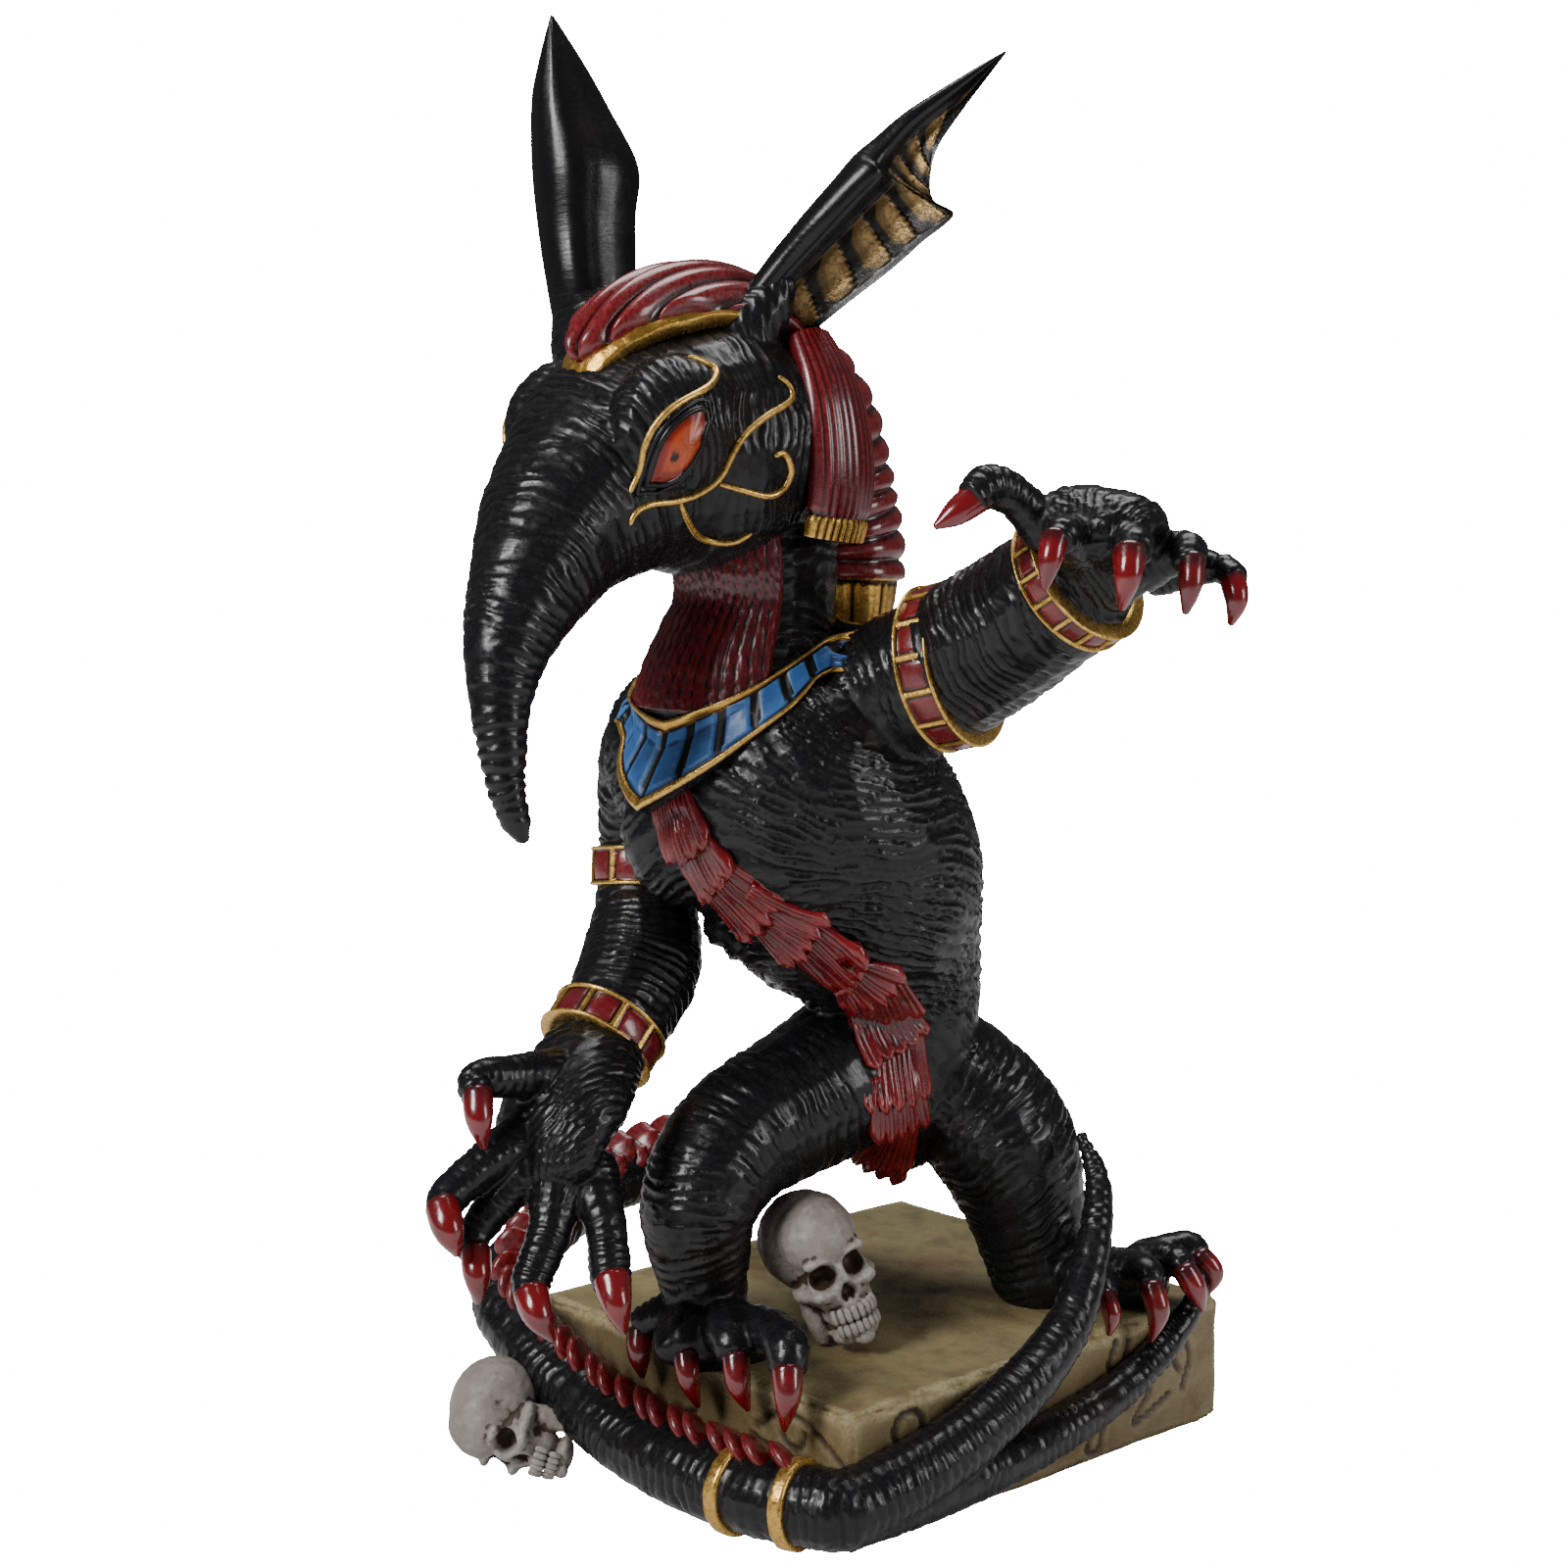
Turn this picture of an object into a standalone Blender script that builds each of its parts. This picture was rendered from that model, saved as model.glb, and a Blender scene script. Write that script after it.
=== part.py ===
"""Cast resin figure of the god Seth, astride a stone slab with two skulls.

Metres, +Z up. The origin is the middle of the slab's underside. The slab's front side, with the
carved eye, faces -Y, and its right side faces +X.

The pose is laid out in a frame that is turned about the vertical, so that the figure is seen
three-quarter from its left: across runs to the right, away runs into the scene, and up starts at
the slab's top. Its numbers are millimetres on a figure 230.5 mm high.
"""

import math

import bmesh
import bpy
from mathutils import Matrix, Vector
from mathutils.bvhtree import BVHTree

# Driving sizes.
FIGURE_HEIGHT = 0.2305
PLINTH_WIDTH = 0.084
PLINTH_LENGTH = 0.093
PLINTH_HEIGHT = 0.0235
PLINTH_BEVEL = 0.0012
GROOVE_RADIUS = 0.0007
UPPER_SKULL = 0.0265
LOWER_SKULL = 0.0235
FIT_GAP = 0.0003
FLAT_ENOUGH = math.radians(2)

MM = FIGURE_HEIGHT / 230.5
POSE_TURN = math.radians(48.3)
SIDE_X = PLINTH_WIDTH / 2
SIDE_Y = PLINTH_LENGTH / 2

# The figure looks to the lower left of the pose frame, and its left side is nearer.
FRONT = (-0.72, -0.69, 0.0)
LEFT = (0.69, -0.72, 0.0)
AWAY = (0.0, 1.0, 0.0)
UP = (0.0, 0.0, 1.0)

COLOURS = {
    "skin": ((0.012, 0.012, 0.013), 0.38, 0.0),
    "stone": ((0.23, 0.19, 0.10), 0.7, 0.0),
    "bone": ((0.42, 0.38, 0.33), 0.6, 0.0),
}


def turned(vector):
    """A direction of the pose frame in world axes."""
    return Matrix.Rotation(POSE_TURN, 3, "Z") @ Vector(vector)


def at(across, away, up):
    """A point of the pose frame in world axes, in metres."""
    point = turned((across * MM, away * MM, up * MM))
    return point + Vector((0.0, 0.0, PLINTH_HEIGHT))


def material(name):
    """The painted finish of that name."""
    made = bpy.data.materials.get(name)
    if made:
        return made
    colour, roughness, metallic = COLOURS[name]
    made = bpy.data.materials.new(name)
    made.use_nodes = True
    shader = made.node_tree.nodes["Principled BSDF"]
    shader.inputs["Base Color"].default_value = (*colour, 1.0)
    shader.inputs["Roughness"].default_value = roughness
    shader.inputs["Metallic"].default_value = metallic
    return made


def object_from(name, points, faces):
    """A mesh object with its faces turned outwards."""
    mesh = bpy.data.meshes.new(name)
    mesh.from_pydata([tuple(p) for p in points], [], faces)
    shape = bmesh.new()
    shape.from_mesh(mesh)
    bmesh.ops.recalc_face_normals(shape, faces=shape.faces)
    shape.to_mesh(mesh)
    shape.free()
    made = bpy.data.objects.new(name, mesh)
    bpy.context.scene.collection.objects.link(made)
    return made


def loft(name, rings, first=None, last=None):
    """A closed skin over rings of equal size, with a point or a flat cap at each end."""
    size = len(rings[0])
    points = [p for ring in rings for p in ring]
    faces = []
    for row in range(len(rings) - 1):
        for i in range(size):
            j = (i + 1) % size
            low, high = row * size, (row + 1) * size
            faces.append((low + i, low + j, high + j, high + i))
    top = (len(rings) - 1) * size
    if first is None:
        faces.append(tuple(range(size)))
    else:
        points.append(first)
        faces += [(len(points) - 1, (i + 1) % size, i) for i in range(size)]
    if last is None:
        faces.append(tuple(top + i for i in range(size)))
    else:
        points.append(last)
        faces += [(len(points) - 1, top + i, top + (i + 1) % size) for i in range(size)]
    return object_from(name, points, faces)


def curve_through(stations, steps):
    """Catmull-Rom samples through stations of equal length, steps to each span."""
    padded = [stations[0], *stations, stations[-1]]
    samples = []
    for i in range(len(stations) - 1):
        a, b, c, d = (Vector(padded[i + k]) for k in range(4))
        for step in range(steps):
            t = step / steps
            samples.append(
                0.5
                * (
                    2 * b
                    + (c - a) * t
                    + (2 * a - 5 * b + 4 * c - d) * t * t
                    + (3 * b - a - 3 * c + d) * t * t * t
                )
            )
    samples.append(Vector(stations[-1]))
    return samples


def directions(centres):
    """The unit tangent at each point of a line. Its ends lean to their neighbours' tangents."""
    last = len(centres) - 1
    tangents = [
        (centres[min(i + 1, last)] - centres[max(i - 1, 0)]).normalized()
        for i in range(last + 1)
    ]
    if last > 1:
        tangents[0] = (tangents[0] + tangents[1]).normalized()
        tangents[last] = (tangents[last] + tangents[last - 1]).normalized()
    return tangents


def section(centre, tangent, side, wide, deep, count):
    """An ellipse across the tangent, wide along side and deep across it."""
    x_axis = (side - tangent * side.dot(tangent)).normalized()
    y_axis = tangent.cross(x_axis)
    ring = []
    for i in range(count):
        angle = 2 * math.pi * i / count
        offset = x_axis * wide * math.cos(angle) + y_axis * deep * math.sin(angle)
        ring.append(centre + offset)
    return ring


def swept(name, stations, sides, steps, side=LEFT, place=at, grow=0.0, unit=None):
    """A limb through stations (x, y, z, wide, deep), with round ends. grow thickens it."""
    unit = MM if unit is None else unit
    even = [s if len(s) == 5 else (*s, s[3]) for s in stations]
    # Blender vectors of five numbers keep place and girth together while they are smoothed.
    samples = curve_through(even, steps)
    centres = [place(*s[:3]) for s in samples]
    tangents = directions(centres)
    across = turned(side) if place is at else Vector(side)
    rings = [
        section(c, t, across, s[3] * unit + grow, s[4] * unit + grow, sides)
        for c, t, s in zip(centres, tangents, samples)
    ]
    tip = 0.5
    start = centres[0] - tangents[0] * (tip * min(samples[0][3:]) * unit + grow)
    end = centres[-1] + tangents[-1] * (tip * min(samples[-1][3:]) * unit + grow)
    return loft(name, rings, start, end)


def ball(name, centre, radii, axes, segments=12, rings=8):
    """An ellipsoid with its own axes, given as three world directions."""
    turn = Matrix(axes).transposed()
    shape = bmesh.new()
    bmesh.ops.create_uvsphere(shape, u_segments=segments, v_segments=rings, radius=1.0)
    mesh = bpy.data.meshes.new(name)
    for vert in shape.verts:
        vert.co = centre + turn @ Vector([c * r for c, r in zip(vert.co, radii)])
    bmesh.ops.recalc_face_normals(shape, faces=shape.faces)
    shape.to_mesh(mesh)
    shape.free()
    made = bpy.data.objects.new(name, mesh)
    bpy.context.scene.collection.objects.link(made)
    return made


# Torso, neck and head

TORSO = [
    (2, 3, 27, 9, 8),
    (2, 3, 35, 15, 13),
    (2.5, 2, 46, 15.5, 14),
    (2.2, 1, 58, 16.5, 15.5),
    (-0.5, -1, 66, 20.5, 19),
    (-4.5, -4, 74, 25, 23),
    (-9.5, -7, 84, 27.5, 24.5),
    (-17, -12, 95, 28, 25),
    (-20, -13, 105, 25, 22),
    (-22, -13, 113, 19, 17),
    (-22, -13, 120, 15, 14),
]
NECK = [
    (-25, -15, 100, 15),
    (-25.5, -14.5, 108, 17.5),
    (-24, -14, 117, 16),
    (-22, -13, 127, 13.5),
    (-22, -14, 138, 14),
]
HEAD = [
    (-12, 0, 154, 14, 14),
    (-20, -8, 154, 21, 20),
    (-33, -18, 154, 24, 22),
    (-44, -27, 151, 20, 19.5),
    (-53, -38, 142, 14.5, 14),
    (-57.4, -47, 133, 10.5, 10.3),
    (-60.6, -54, 123.7, 7.4, 7.4),
    (-61.6, -58, 114.7, 5.1, 5.1),
    (-61.2, -60, 107, 3.9, 3.9),
    (-60.5, -61, 100.7, 3.0, 3.0),
    (-59, -61, 95.4, 2.3, 2.3),
    (-58, -61, 93, 1.2, 1.2),
]
HEAD_CENTRE = (-31, -16, 154)


def head_place(forward, left, up):
    """A point beside the middle of the head, along its own three directions."""
    moved = Vector(FRONT) * forward + Vector(LEFT) * left + Vector(UP) * up
    return at(*(Vector(HEAD_CENTRE) + moved))


def brow(side):
    """The swelling round one eye. side is 1 on the left and -1 on the right."""
    axes = [turned(FRONT), turned(LEFT), Vector(UP)]
    centre = head_place(18, 13.5 * side, 2.5)
    return ball("brow", centre, (13 * MM, 8.8 * MM, 12 * MM), axes, 10, 6)


def trunk_parts():
    """Pelvis to crown, and the long drooping snout."""
    parts = [
        swept("torso", TORSO, 14, 1),
        swept("neck", NECK, 12, 1),
        swept("head", HEAD, 16, 1),
    ]
    return parts + [brow(1), brow(-1)]


# Ears: hollow leaves, described by their two edges from root to tip

NEAR_EAR = [
    ((-30.5, -23, 171.5), (-16.5, -20, 168.5)),
    ((-26, -24, 177), (-13.5, -21, 172)),
    ((-20, -25, 185), (-8, -24, 176.5)),
    ((-14.5, -27, 191.5), (0, -27, 182.5)),
    ((-10, -28, 196.5), (5, -29, 186.8)),
    ((-7, -28, 200), (10, -31, 191)),
    ((-5.5, -28, 201.5), (6.8, -30, 193.5)),
    ((-3, -28, 203.5), (6.3, -29, 197)),
    ((2.5, -28, 208), (7.5, -28, 202)),
    ((12, -27, 214), (11.5, -27, 208)),
]
NEAR_EAR_TIP = (18.7, -27, 217.8)
FAR_EAR = [
    ((-58.5, 8, 174.5), (-45, 8, 174.5)),
    ((-60, 8, 183.5), (-44, 9, 184)),
    ((-61.5, 10, 193), (-44, 11, 194.5)),
    ((-62.5, 11, 203.5), (-43.5, 12, 203.5)),
    ((-62.5, 12, 215), (-48.5, 13, 213.5)),
    ((-61, 12, 222.5), (-53, 13, 221.5)),
]
FAR_EAR_TIP = (-58.7, 12, 230.3)
# Share of the way across, then how far the hollow side stands out in shares of the width.
HOLLOW_SIDE = [(0.10, 0.14), (0.26, 0.17), (0.42, -0.02), (0.62, -0.14), (0.84, -0.09)]
ROUND_SIDE = [(0.84, 0.17), (0.62, 0.30), (0.38, 0.36), (0.15, 0.24)]


def leaf(name, edges, tip, back):
    """An ear between two edges: a round back towards back, and a rim with a hollow in front."""
    rings = []
    for first, second in edges:
        a, b = at(*first), at(*second)
        width = (b - a).length
        ring = [a]
        ring += [a.lerp(b, t) - turned(back) * width * out for t, out in HOLLOW_SIDE]
        ring.append(b)
        ring += [a.lerp(b, t) + turned(back) * width * out for t, out in ROUND_SIDE]
        rings.append(ring)
    return loft(name, rings, None, at(*tip))


def ear_parts():
    """The near ear shows its hollow, and the far ear its back."""
    near_root = [(-24, -14, 150, 9), (-23, -19, 160, 8.2), (-22.5, -21, 168, 7.6)]
    near_root += [(-19, -23, 176, 6.2), (-13.5, -25, 184, 3)]
    far_root = [(-42, -6, 152, 9), (-47, -1, 162, 8.5), (-51, 4, 171, 7.8)]
    far_root += [(-52, 8, 179, 7, 5.5), (-52, 9.5, 186, 4, 3)]
    return [
        leaf("near_ear", NEAR_EAR, NEAR_EAR_TIP, AWAY),
        leaf("far_ear", FAR_EAR, FAR_EAR_TIP, (0.0, -1.0, 0.0)),
        swept("near_ear_root", near_root, 9, 1),
        swept("far_ear_root", far_root, 9, 1),
    ]


# Arms, hands and claws

NEAR_ARM = [
    (-8, -16, 107, 12),
    (0, -19, 111.5, 13),
    (9, -25, 116.5, 12.9),
    (19, -36, 124.2, 12.2),
    (26, -45, 130.3, 11.4),
    (29, -48, 133, 10.8),
]
FAR_ARM = [
    (-34, -1, 107, 11),
    (-40, 2, 99, 10.8),
    (-42.5, 5, 84, 8.7),
    (-42.5, 2, 73, 9.2),
    (-43, -6, 63, 10.8),
    (-47, -16, 55, 9.8),
    (-49.5, -20, 51.5, 9.2),
]
NEAR_PALM = [
    (28, -47, 133, 9, 8),
    (31, -54, 138.5, 11, 8),
    (32, -60, 141, 10, 6.5),
    (32, -65, 140, 6, 4),
]
FAR_PALM = [
    (-49, -19, 52, 8.5, 7.5),
    (-53, -29, 46.5, 12, 7.5),
    (-55.5, -37, 40.5, 12.5, 7),
    (-55.5, -42, 34, 8.5, 5),
]
# Each digit is three joints of flesh and then three points of claw, all with their girth.
NEAR_DIGITS = [
    [(23.5, -55, 140, 4), (18.5, -58, 145.5, 3.3), (14, -60, 147.5, 3.6), (11.5, -62, 146, 3)],
    [(27.5, -60, 138, 3.9), (25, -67, 140.5, 3.1), (23.5, -70, 139.5, 2.5)],
    [(32.5, -61, 138, 3.9), (35, -68, 139, 3.3), (34, -71, 137, 2.6)],
    [(38, -55, 135, 4.3), (44, -60, 138, 3.2), (44, -64, 136, 2.5)],
    [(41, -50, 134, 4), (49.5, -54.5, 135, 2.7), (52, -58.5, 133.5, 2.2)],
]
NEAR_CLAWS = [
    [(12, -61.5, 146, 2.6), (8.5, -63, 143.5, 2.1), (5.5, -64, 141.5, 0.6)],
    [(23, -70, 140, 2.2), (22, -72, 136.5, 1.8), (21.5, -71, 132.5, 0.6)],
    [(34, -71, 138, 2.5), (33.5, -73, 134, 2), (33, -71, 129.5, 0.6)],
    [(44.5, -64, 136.5, 2.1), (44, -66, 132.5, 1.8), (43.5, -65, 128.5, 0.6)],
    [(51.6, -57.8, 134, 1.7), (52, -60.5, 130.2, 1.8), (51.5, -59, 126.5, 0.6)],
]
FAR_DIGITS = [
    [(-55, -31, 48.5, 4.9), (-62.5, -39, 50, 3.8), (-68, -43, 50.5, 3.2), (-67.5, -46, 48, 2.7)],
    [(-59, -37, 41, 4.8), (-67.5, -44, 36, 3.6), (-72.5, -48, 32, 3.4), (-72.5, -51, 30.5, 2.8)],
    [(-57.5, -39, 37.5, 4.8), (-65.5, -43, 29, 3.5), (-69, -46, 24, 2.8), (-68, -48, 22.5, 2.5)],
    [(-55, -41, 34.5, 5.1), (-56, -46, 26, 3.8), (-58.5, -51, 19.5, 3.4), (-58.5, -53, 17, 2.9)],
    [(-50, -39, 34, 5.1), (-47, -45, 26.5, 3.6), (-46, -49, 20, 3.6), (-45.5, -51, 18, 3.1)],
]
FAR_CLAWS = [
    [(-67.5, -46.5, 49, 2.5), (-67, -49, 45, 2.2), (-66.5, -48, 40.5, 0.6)],
    [(-73, -51, 31.5, 2.8), (-71.5, -54, 28, 2.5), (-70.5, -53, 24, 0.6)],
    [(-68, -48, 23, 2.5), (-67.5, -51, 19.5, 2.2), (-67.5, -50, 15, 0.6)],
    [(-58.5, -53, 17.5, 2.9), (-57, -56, 14.5, 2.4), (-55, -55, 10.5, 0.6)],
    [(-45.5, -51, 19, 3.1), (-44.5, -54, 15.5, 2.3), (-43.5, -53, 11, 0.6)],
]


def digits(name, fleshes, claws):
    """Jointed fingers or toes, each with its claw."""
    parts = []
    for i, (flesh, claw) in enumerate(zip(fleshes, claws)):
        parts.append(swept(f"{name}_{i}", flesh, 6, 1))
        parts.append(swept(f"{name}_claw_{i}", claw, 5, 1))
    return parts


def arm_parts():
    """Both arms, one reaching out to the side and one reaching down in front."""
    parts = [
        swept("near_arm", NEAR_ARM, 10, 1),
        swept("far_arm", FAR_ARM, 10, 1),
        swept("near_palm", NEAR_PALM, 8, 1),
        swept("far_palm", FAR_PALM, 8, 1),
    ]
    parts += digits("near_digit", NEAR_DIGITS, NEAR_CLAWS)
    return parts + digits("far_digit", FAR_DIGITS, FAR_CLAWS)


# Legs, feet and toes

FAR_LEG = [
    (-1, 1, 45, 14.5),
    (-13, -11, 40, 13.2),
    (-26, -22, 34.5, 11.8),
    (-32, -29, 26, 10.4),
    (-32, -28, 17, 8.8),
    (-31, -27, 9, 7.2),
]
NEAR_LEG = [
    (7, 2, 43, 12.5),
    (15, 2, 37.5, 13),
    (22, 0, 29, 13.4),
    (26, 0, 18.5, 11.6),
    (28, 0, 9.5, 9.8),
    (30, -1, 2, 8.8),
]
FAR_FOOT = [(-31, -26, 5, 7, 7), (-30, -32, 4, 10, 5.5), (-29, -38, 3, 10.5, 4.5)]
NEAR_FOOT = [(30, -1, 4, 8, 6.5), (40, -4, 4.5, 7.5, 5.5), (50, -5, 4.5, 7, 4.5)]
FAR_TOES = [
    [(-33, -29, 7, 4.2), (-38.5, -27, 5, 3.6), (-42, -26, 3, 3.1)],
    [(-32.5, -32, 6, 4.2), (-34, -37, 5.5, 3.8), (-34.5, -39, 3.5, 3)],
    [(-28.5, -34, 6, 4.2), (-26.5, -44, 7, 3.9), (-26, -47, 5.5, 3.1)],
    [(-26, -34, 6, 4.2), (-19, -48, 9, 3.9), (-17, -54, 8.5, 3.8), (-17, -56, 6, 3.2)],
]
FAR_TOE_CLAWS = [
    [(-42.5, -27, 2, 2.3), (-42.5, -29, -1.5, 2), (-42, -28.5, -5.5, 0.5)],
    [(-34, -40, 2.5, 2.2), (-33.5, -42, -1, 1.9), (-32, -41, -6, 0.5)],
    [(-25.5, -48, 5, 2.3), (-25, -50, 1, 2), (-23.5, -49, -3.5, 0.5)],
    [(-17, -57, 6, 2.6), (-17, -59, 2, 2.1), (-17.5, -58, -3.5, 0.5)],
]
NEAR_TOES = [
    [(34, -5, 4, 4), (37.5, -17, 8.5, 3.7), (38, -21, 7, 3)],
    [(40.5, -8, 7, 3.9), (46, -15, 9, 3.4), (47, -18, 8, 2.7)],
    [(46.5, -6, 7.5, 4), (52, -10, 9.5, 3.1), (53.5, -13, 9, 2.5)],
    [(47.5, -4, 7.5, 3.8), (56, -3, 10, 2.8), (57.5, -5, 8.5, 2.4)],
]
NEAR_TOE_CLAWS = [
    [(38.5, -22, 7, 1.8), (39.5, -24, 4, 1.6), (39, -24, 0.5, 0.5)],
    [(47, -19, 7.5, 2.2), (48, -21, 3.5, 2), (47, -20, -2, 0.5)],
    [(53.5, -14, 9, 2.2), (55.5, -15, 5.5, 2), (57, -14, 1.5, 0.5)],
    [(57.5, -6, 9, 2.2), (60, -7, 6, 1.9), (59, -6.5, 2, 0.5)],
]


def leg_parts():
    """The bent leg is the far one, and the near leg stretches to the slab's corner."""
    parts = [
        swept("far_leg", FAR_LEG, 10, 2),
        swept("near_leg", NEAR_LEG, 10, 2),
        swept("far_foot", FAR_FOOT, 8, 1, side=(1, 0.3, 0)),
        swept("near_foot", NEAR_FOOT, 8, 1, side=AWAY),
    ]
    parts += digits("far_toe", FAR_TOES, FAR_TOE_CLAWS)
    return parts + digits("near_toe", NEAR_TOES, NEAR_TOE_CLAWS)


# Tail: off the small of the back, round the slab's left corner, along its front, and forked


def free_tail():
    """The stations in the air, in world metres with the girth last."""
    stations = [
        (4, 5, 54, 10),
        (3, 13, 46, 11),
        (-2, 21, 35, 9),
        (-18, 28, 23.5, 7.4),
        (-36, 28, 18, 6.4),
        (-53, 21, 14, 6),
    ]
    return [(*at(x, y, z), r * MM) for x, y, z, r in stations]


def laid_tail():
    """The stations round the slab's foot. Each keeps its own distance from the side it follows."""
    return [
        (-SIDE_X - 7.5 * MM, -SIDE_Y + 4.0 * MM, 30 * MM, 5.8 * MM),
        (-SIDE_X - 3.5 * MM, -SIDE_Y - 5.5 * MM, 23 * MM, 5.9 * MM),
        (-SIDE_X * 0.76, -SIDE_Y - 8.0 * MM, 17.0 * MM, 6.1 * MM),
        (-SIDE_X * 0.40, -SIDE_Y - 8.5 * MM, 12.0 * MM, 6.4 * MM),
        (-SIDE_X * 0.05, -SIDE_Y - 9.0 * MM, 9.2 * MM, 6.6 * MM),
        (SIDE_X * 0.32, -SIDE_Y - 8.8 * MM, 8.2 * MM, 6.7 * MM),
        (SIDE_X * 0.70, -SIDE_Y - 7.0 * MM, 8.4 * MM, 6.7 * MM),
        (SIDE_X + 0.5 * MM, -SIDE_Y - 3.0 * MM, 9.0 * MM, 6.5 * MM),
    ]


def upper_branch():
    """The branch that climbs over the slab's edge to the near knee."""
    laid = [
        (SIDE_X + 0.5 * MM, -SIDE_Y - 3.0 * MM, 9.0 * MM, 6.2 * MM),
        (SIDE_X + 2.8 * MM, -SIDE_Y * 0.84, 11.5 * MM, 5.9 * MM),
        (SIDE_X + 4.0 * MM, -SIDE_Y * 0.62, 14.5 * MM, 5.5 * MM),
        (SIDE_X + 4.6 * MM, -SIDE_Y * 0.42, 18 * MM, 5.1 * MM),
        (SIDE_X + 4.4 * MM, -SIDE_Y * 0.18, 23 * MM, 4.6 * MM),
    ]
    raised = [
        (31.7, -33, 7, 3.9),
        (36, -25, 17, 3.1),
        (37.5, -17.5, 26, 2.3),
        (35, -13, 33, 1.0),
    ]
    return laid + [(*at(x, y, z), r * MM) for x, y, z, r in raised]


def lower_branch():
    """The branch that stays on the slab's right side and ends at the near foot's claws."""
    return [
        (SIDE_X + 0.5 * MM, -SIDE_Y - 3.0 * MM, 8.6 * MM, 6.0 * MM),
        (SIDE_X + 2.0 * MM, -SIDE_Y * 0.78, 8.0 * MM, 5.2 * MM),
        (SIDE_X + 2.6 * MM, -SIDE_Y * 0.40, 8.4 * MM, 4.6 * MM),
        (SIDE_X + 2.8 * MM, SIDE_Y * 0.05, 10.8 * MM, 3.9 * MM),
        (SIDE_X + 2.8 * MM, SIDE_Y * 0.40, 15.0 * MM, 3.3 * MM),
        (SIDE_X + 2.6 * MM, SIDE_Y * 0.66, 21.0 * MM, 2.6 * MM),
        (SIDE_X + 2.2 * MM, SIDE_Y * 0.80, 27 * MM, 1.9 * MM),
        (SIDE_X + 0.5 * MM, SIDE_Y * 0.82, 32 * MM, 1.0 * MM),
    ]


def straight(x, y, z):
    """A point that is already in world metres."""
    return Vector((x, y, z))


def rope(name, stations, sides, steps, grow=0.0):
    """A round limb through world stations."""
    return swept(name, stations, sides, steps, side=UP, place=straight, grow=grow, unit=1.0)


def tail_body(grow=0.0):
    """The tail as far as its fork."""
    return rope("tail", free_tail() + laid_tail(), 8, 2, grow)


def inward_of(centre):
    """The inner upper side of the tail, where its crest stands."""
    return (Vector(UP) + Vector((-centre.x, -centre.y, 0)).normalized()).normalized()


def crest(samples, centres, tangents):
    """The row of gills along the tail, as one fin with a lobed edge."""
    rings = []
    for i in range(2, len(samples) - 1):
        inward = inward_of(centres[i])
        across = tangents[i].cross(inward).normalized()
        girth = samples[i][3]
        high = CREST_LOBE if i % 2 else CREST_DIP
        outer = centres[i] + inward * girth * high
        inner = centres[i] + inward * girth * 0.5
        wide = girth * (0.5 if i % 2 else 0.34)
        rings.append(
            [inner - across * wide, outer - across * wide * 0.4, outer + across * wide * 0.4]
            + [inner + across * wide]
        )
    return loft("crest", rings)


def tail_parts():
    """The tail, its two branches, two raised rings and its crest."""
    parts = [
        tail_body(),
        rope("upper_branch", upper_branch(), 7, 1),
        rope("lower_branch", lower_branch(), 7, 1),
    ]
    samples = curve_through(free_tail() + laid_tail(), 4)
    centres = [Vector(s[:3]) for s in samples]
    tangents = directions(centres)
    parts.append(crest(samples, centres, tangents))
    for share in RING_SHARES:
        i = round(share * (len(samples) - 1))
        ring = band("tail_ring", centres[i], tangents[i], UP, samples[i][3], 2.6 * MM, 0.6 * MM)
        parts.append(ring)
    return parts


# Ornaments: bands, collar, headdress, feather strip


# Shares of the tail's length, then the crest's reach from the tail's middle in shares of its girth.
RING_SHARES = (0.875, 0.945)
CREST_LOBE = 1.28
CREST_DIP = 0.95


def band(name, centre, axis, side, girth, width, proud, sides=10):
    """A raised cuff round a limb, with a rim along each edge where it is wide enough."""
    side = Vector(side)
    half = width / 2
    rim = width / 6
    profile = [(-half, -2 * proud), (-half, proud), (half, proud), (half, -2 * proud)]
    if proud > MM:
        floor = proud * 0.4
        profile[2:2] = [(-half + rim, proud), (-half + rim, floor), (half - rim, floor)]
        profile[5:5] = [(half - rim, proud)]
    rings = [
        section(centre + axis * along, axis, side, girth + out, girth + out, sides)
        for along, out in profile
    ]
    return loft(name, rings)


# Centre, direction of the axis, girth and width of each cuff.
CUFFS = {
    "near_armlet": ((10.5, -26, 117.3), (0.80, -0.48, 0.22), 13.2, 6.4),
    "near_wristband": ((29, -48.5, 133.3), (0.62, -0.62, 0.50), 11.2, 4.6),
    "far_armlet": ((-42.3, 3.6, 78.5), (-0.02, -0.2, -1.0), 9.2, 7.0),
    "far_wristband": ((-49, -19, 52.3), (-0.42, -0.62, -0.62), 9.6, 6.4),
}


def cuff(name):
    """One of the jewelled cuffs."""
    centre, axis, girth, width = CUFFS[name]
    return band(
        name,
        at(*centre),
        turned(axis).normalized(),
        turned(LEFT),
        girth * MM,
        width * MM,
        1.2 * MM,
    )


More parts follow.
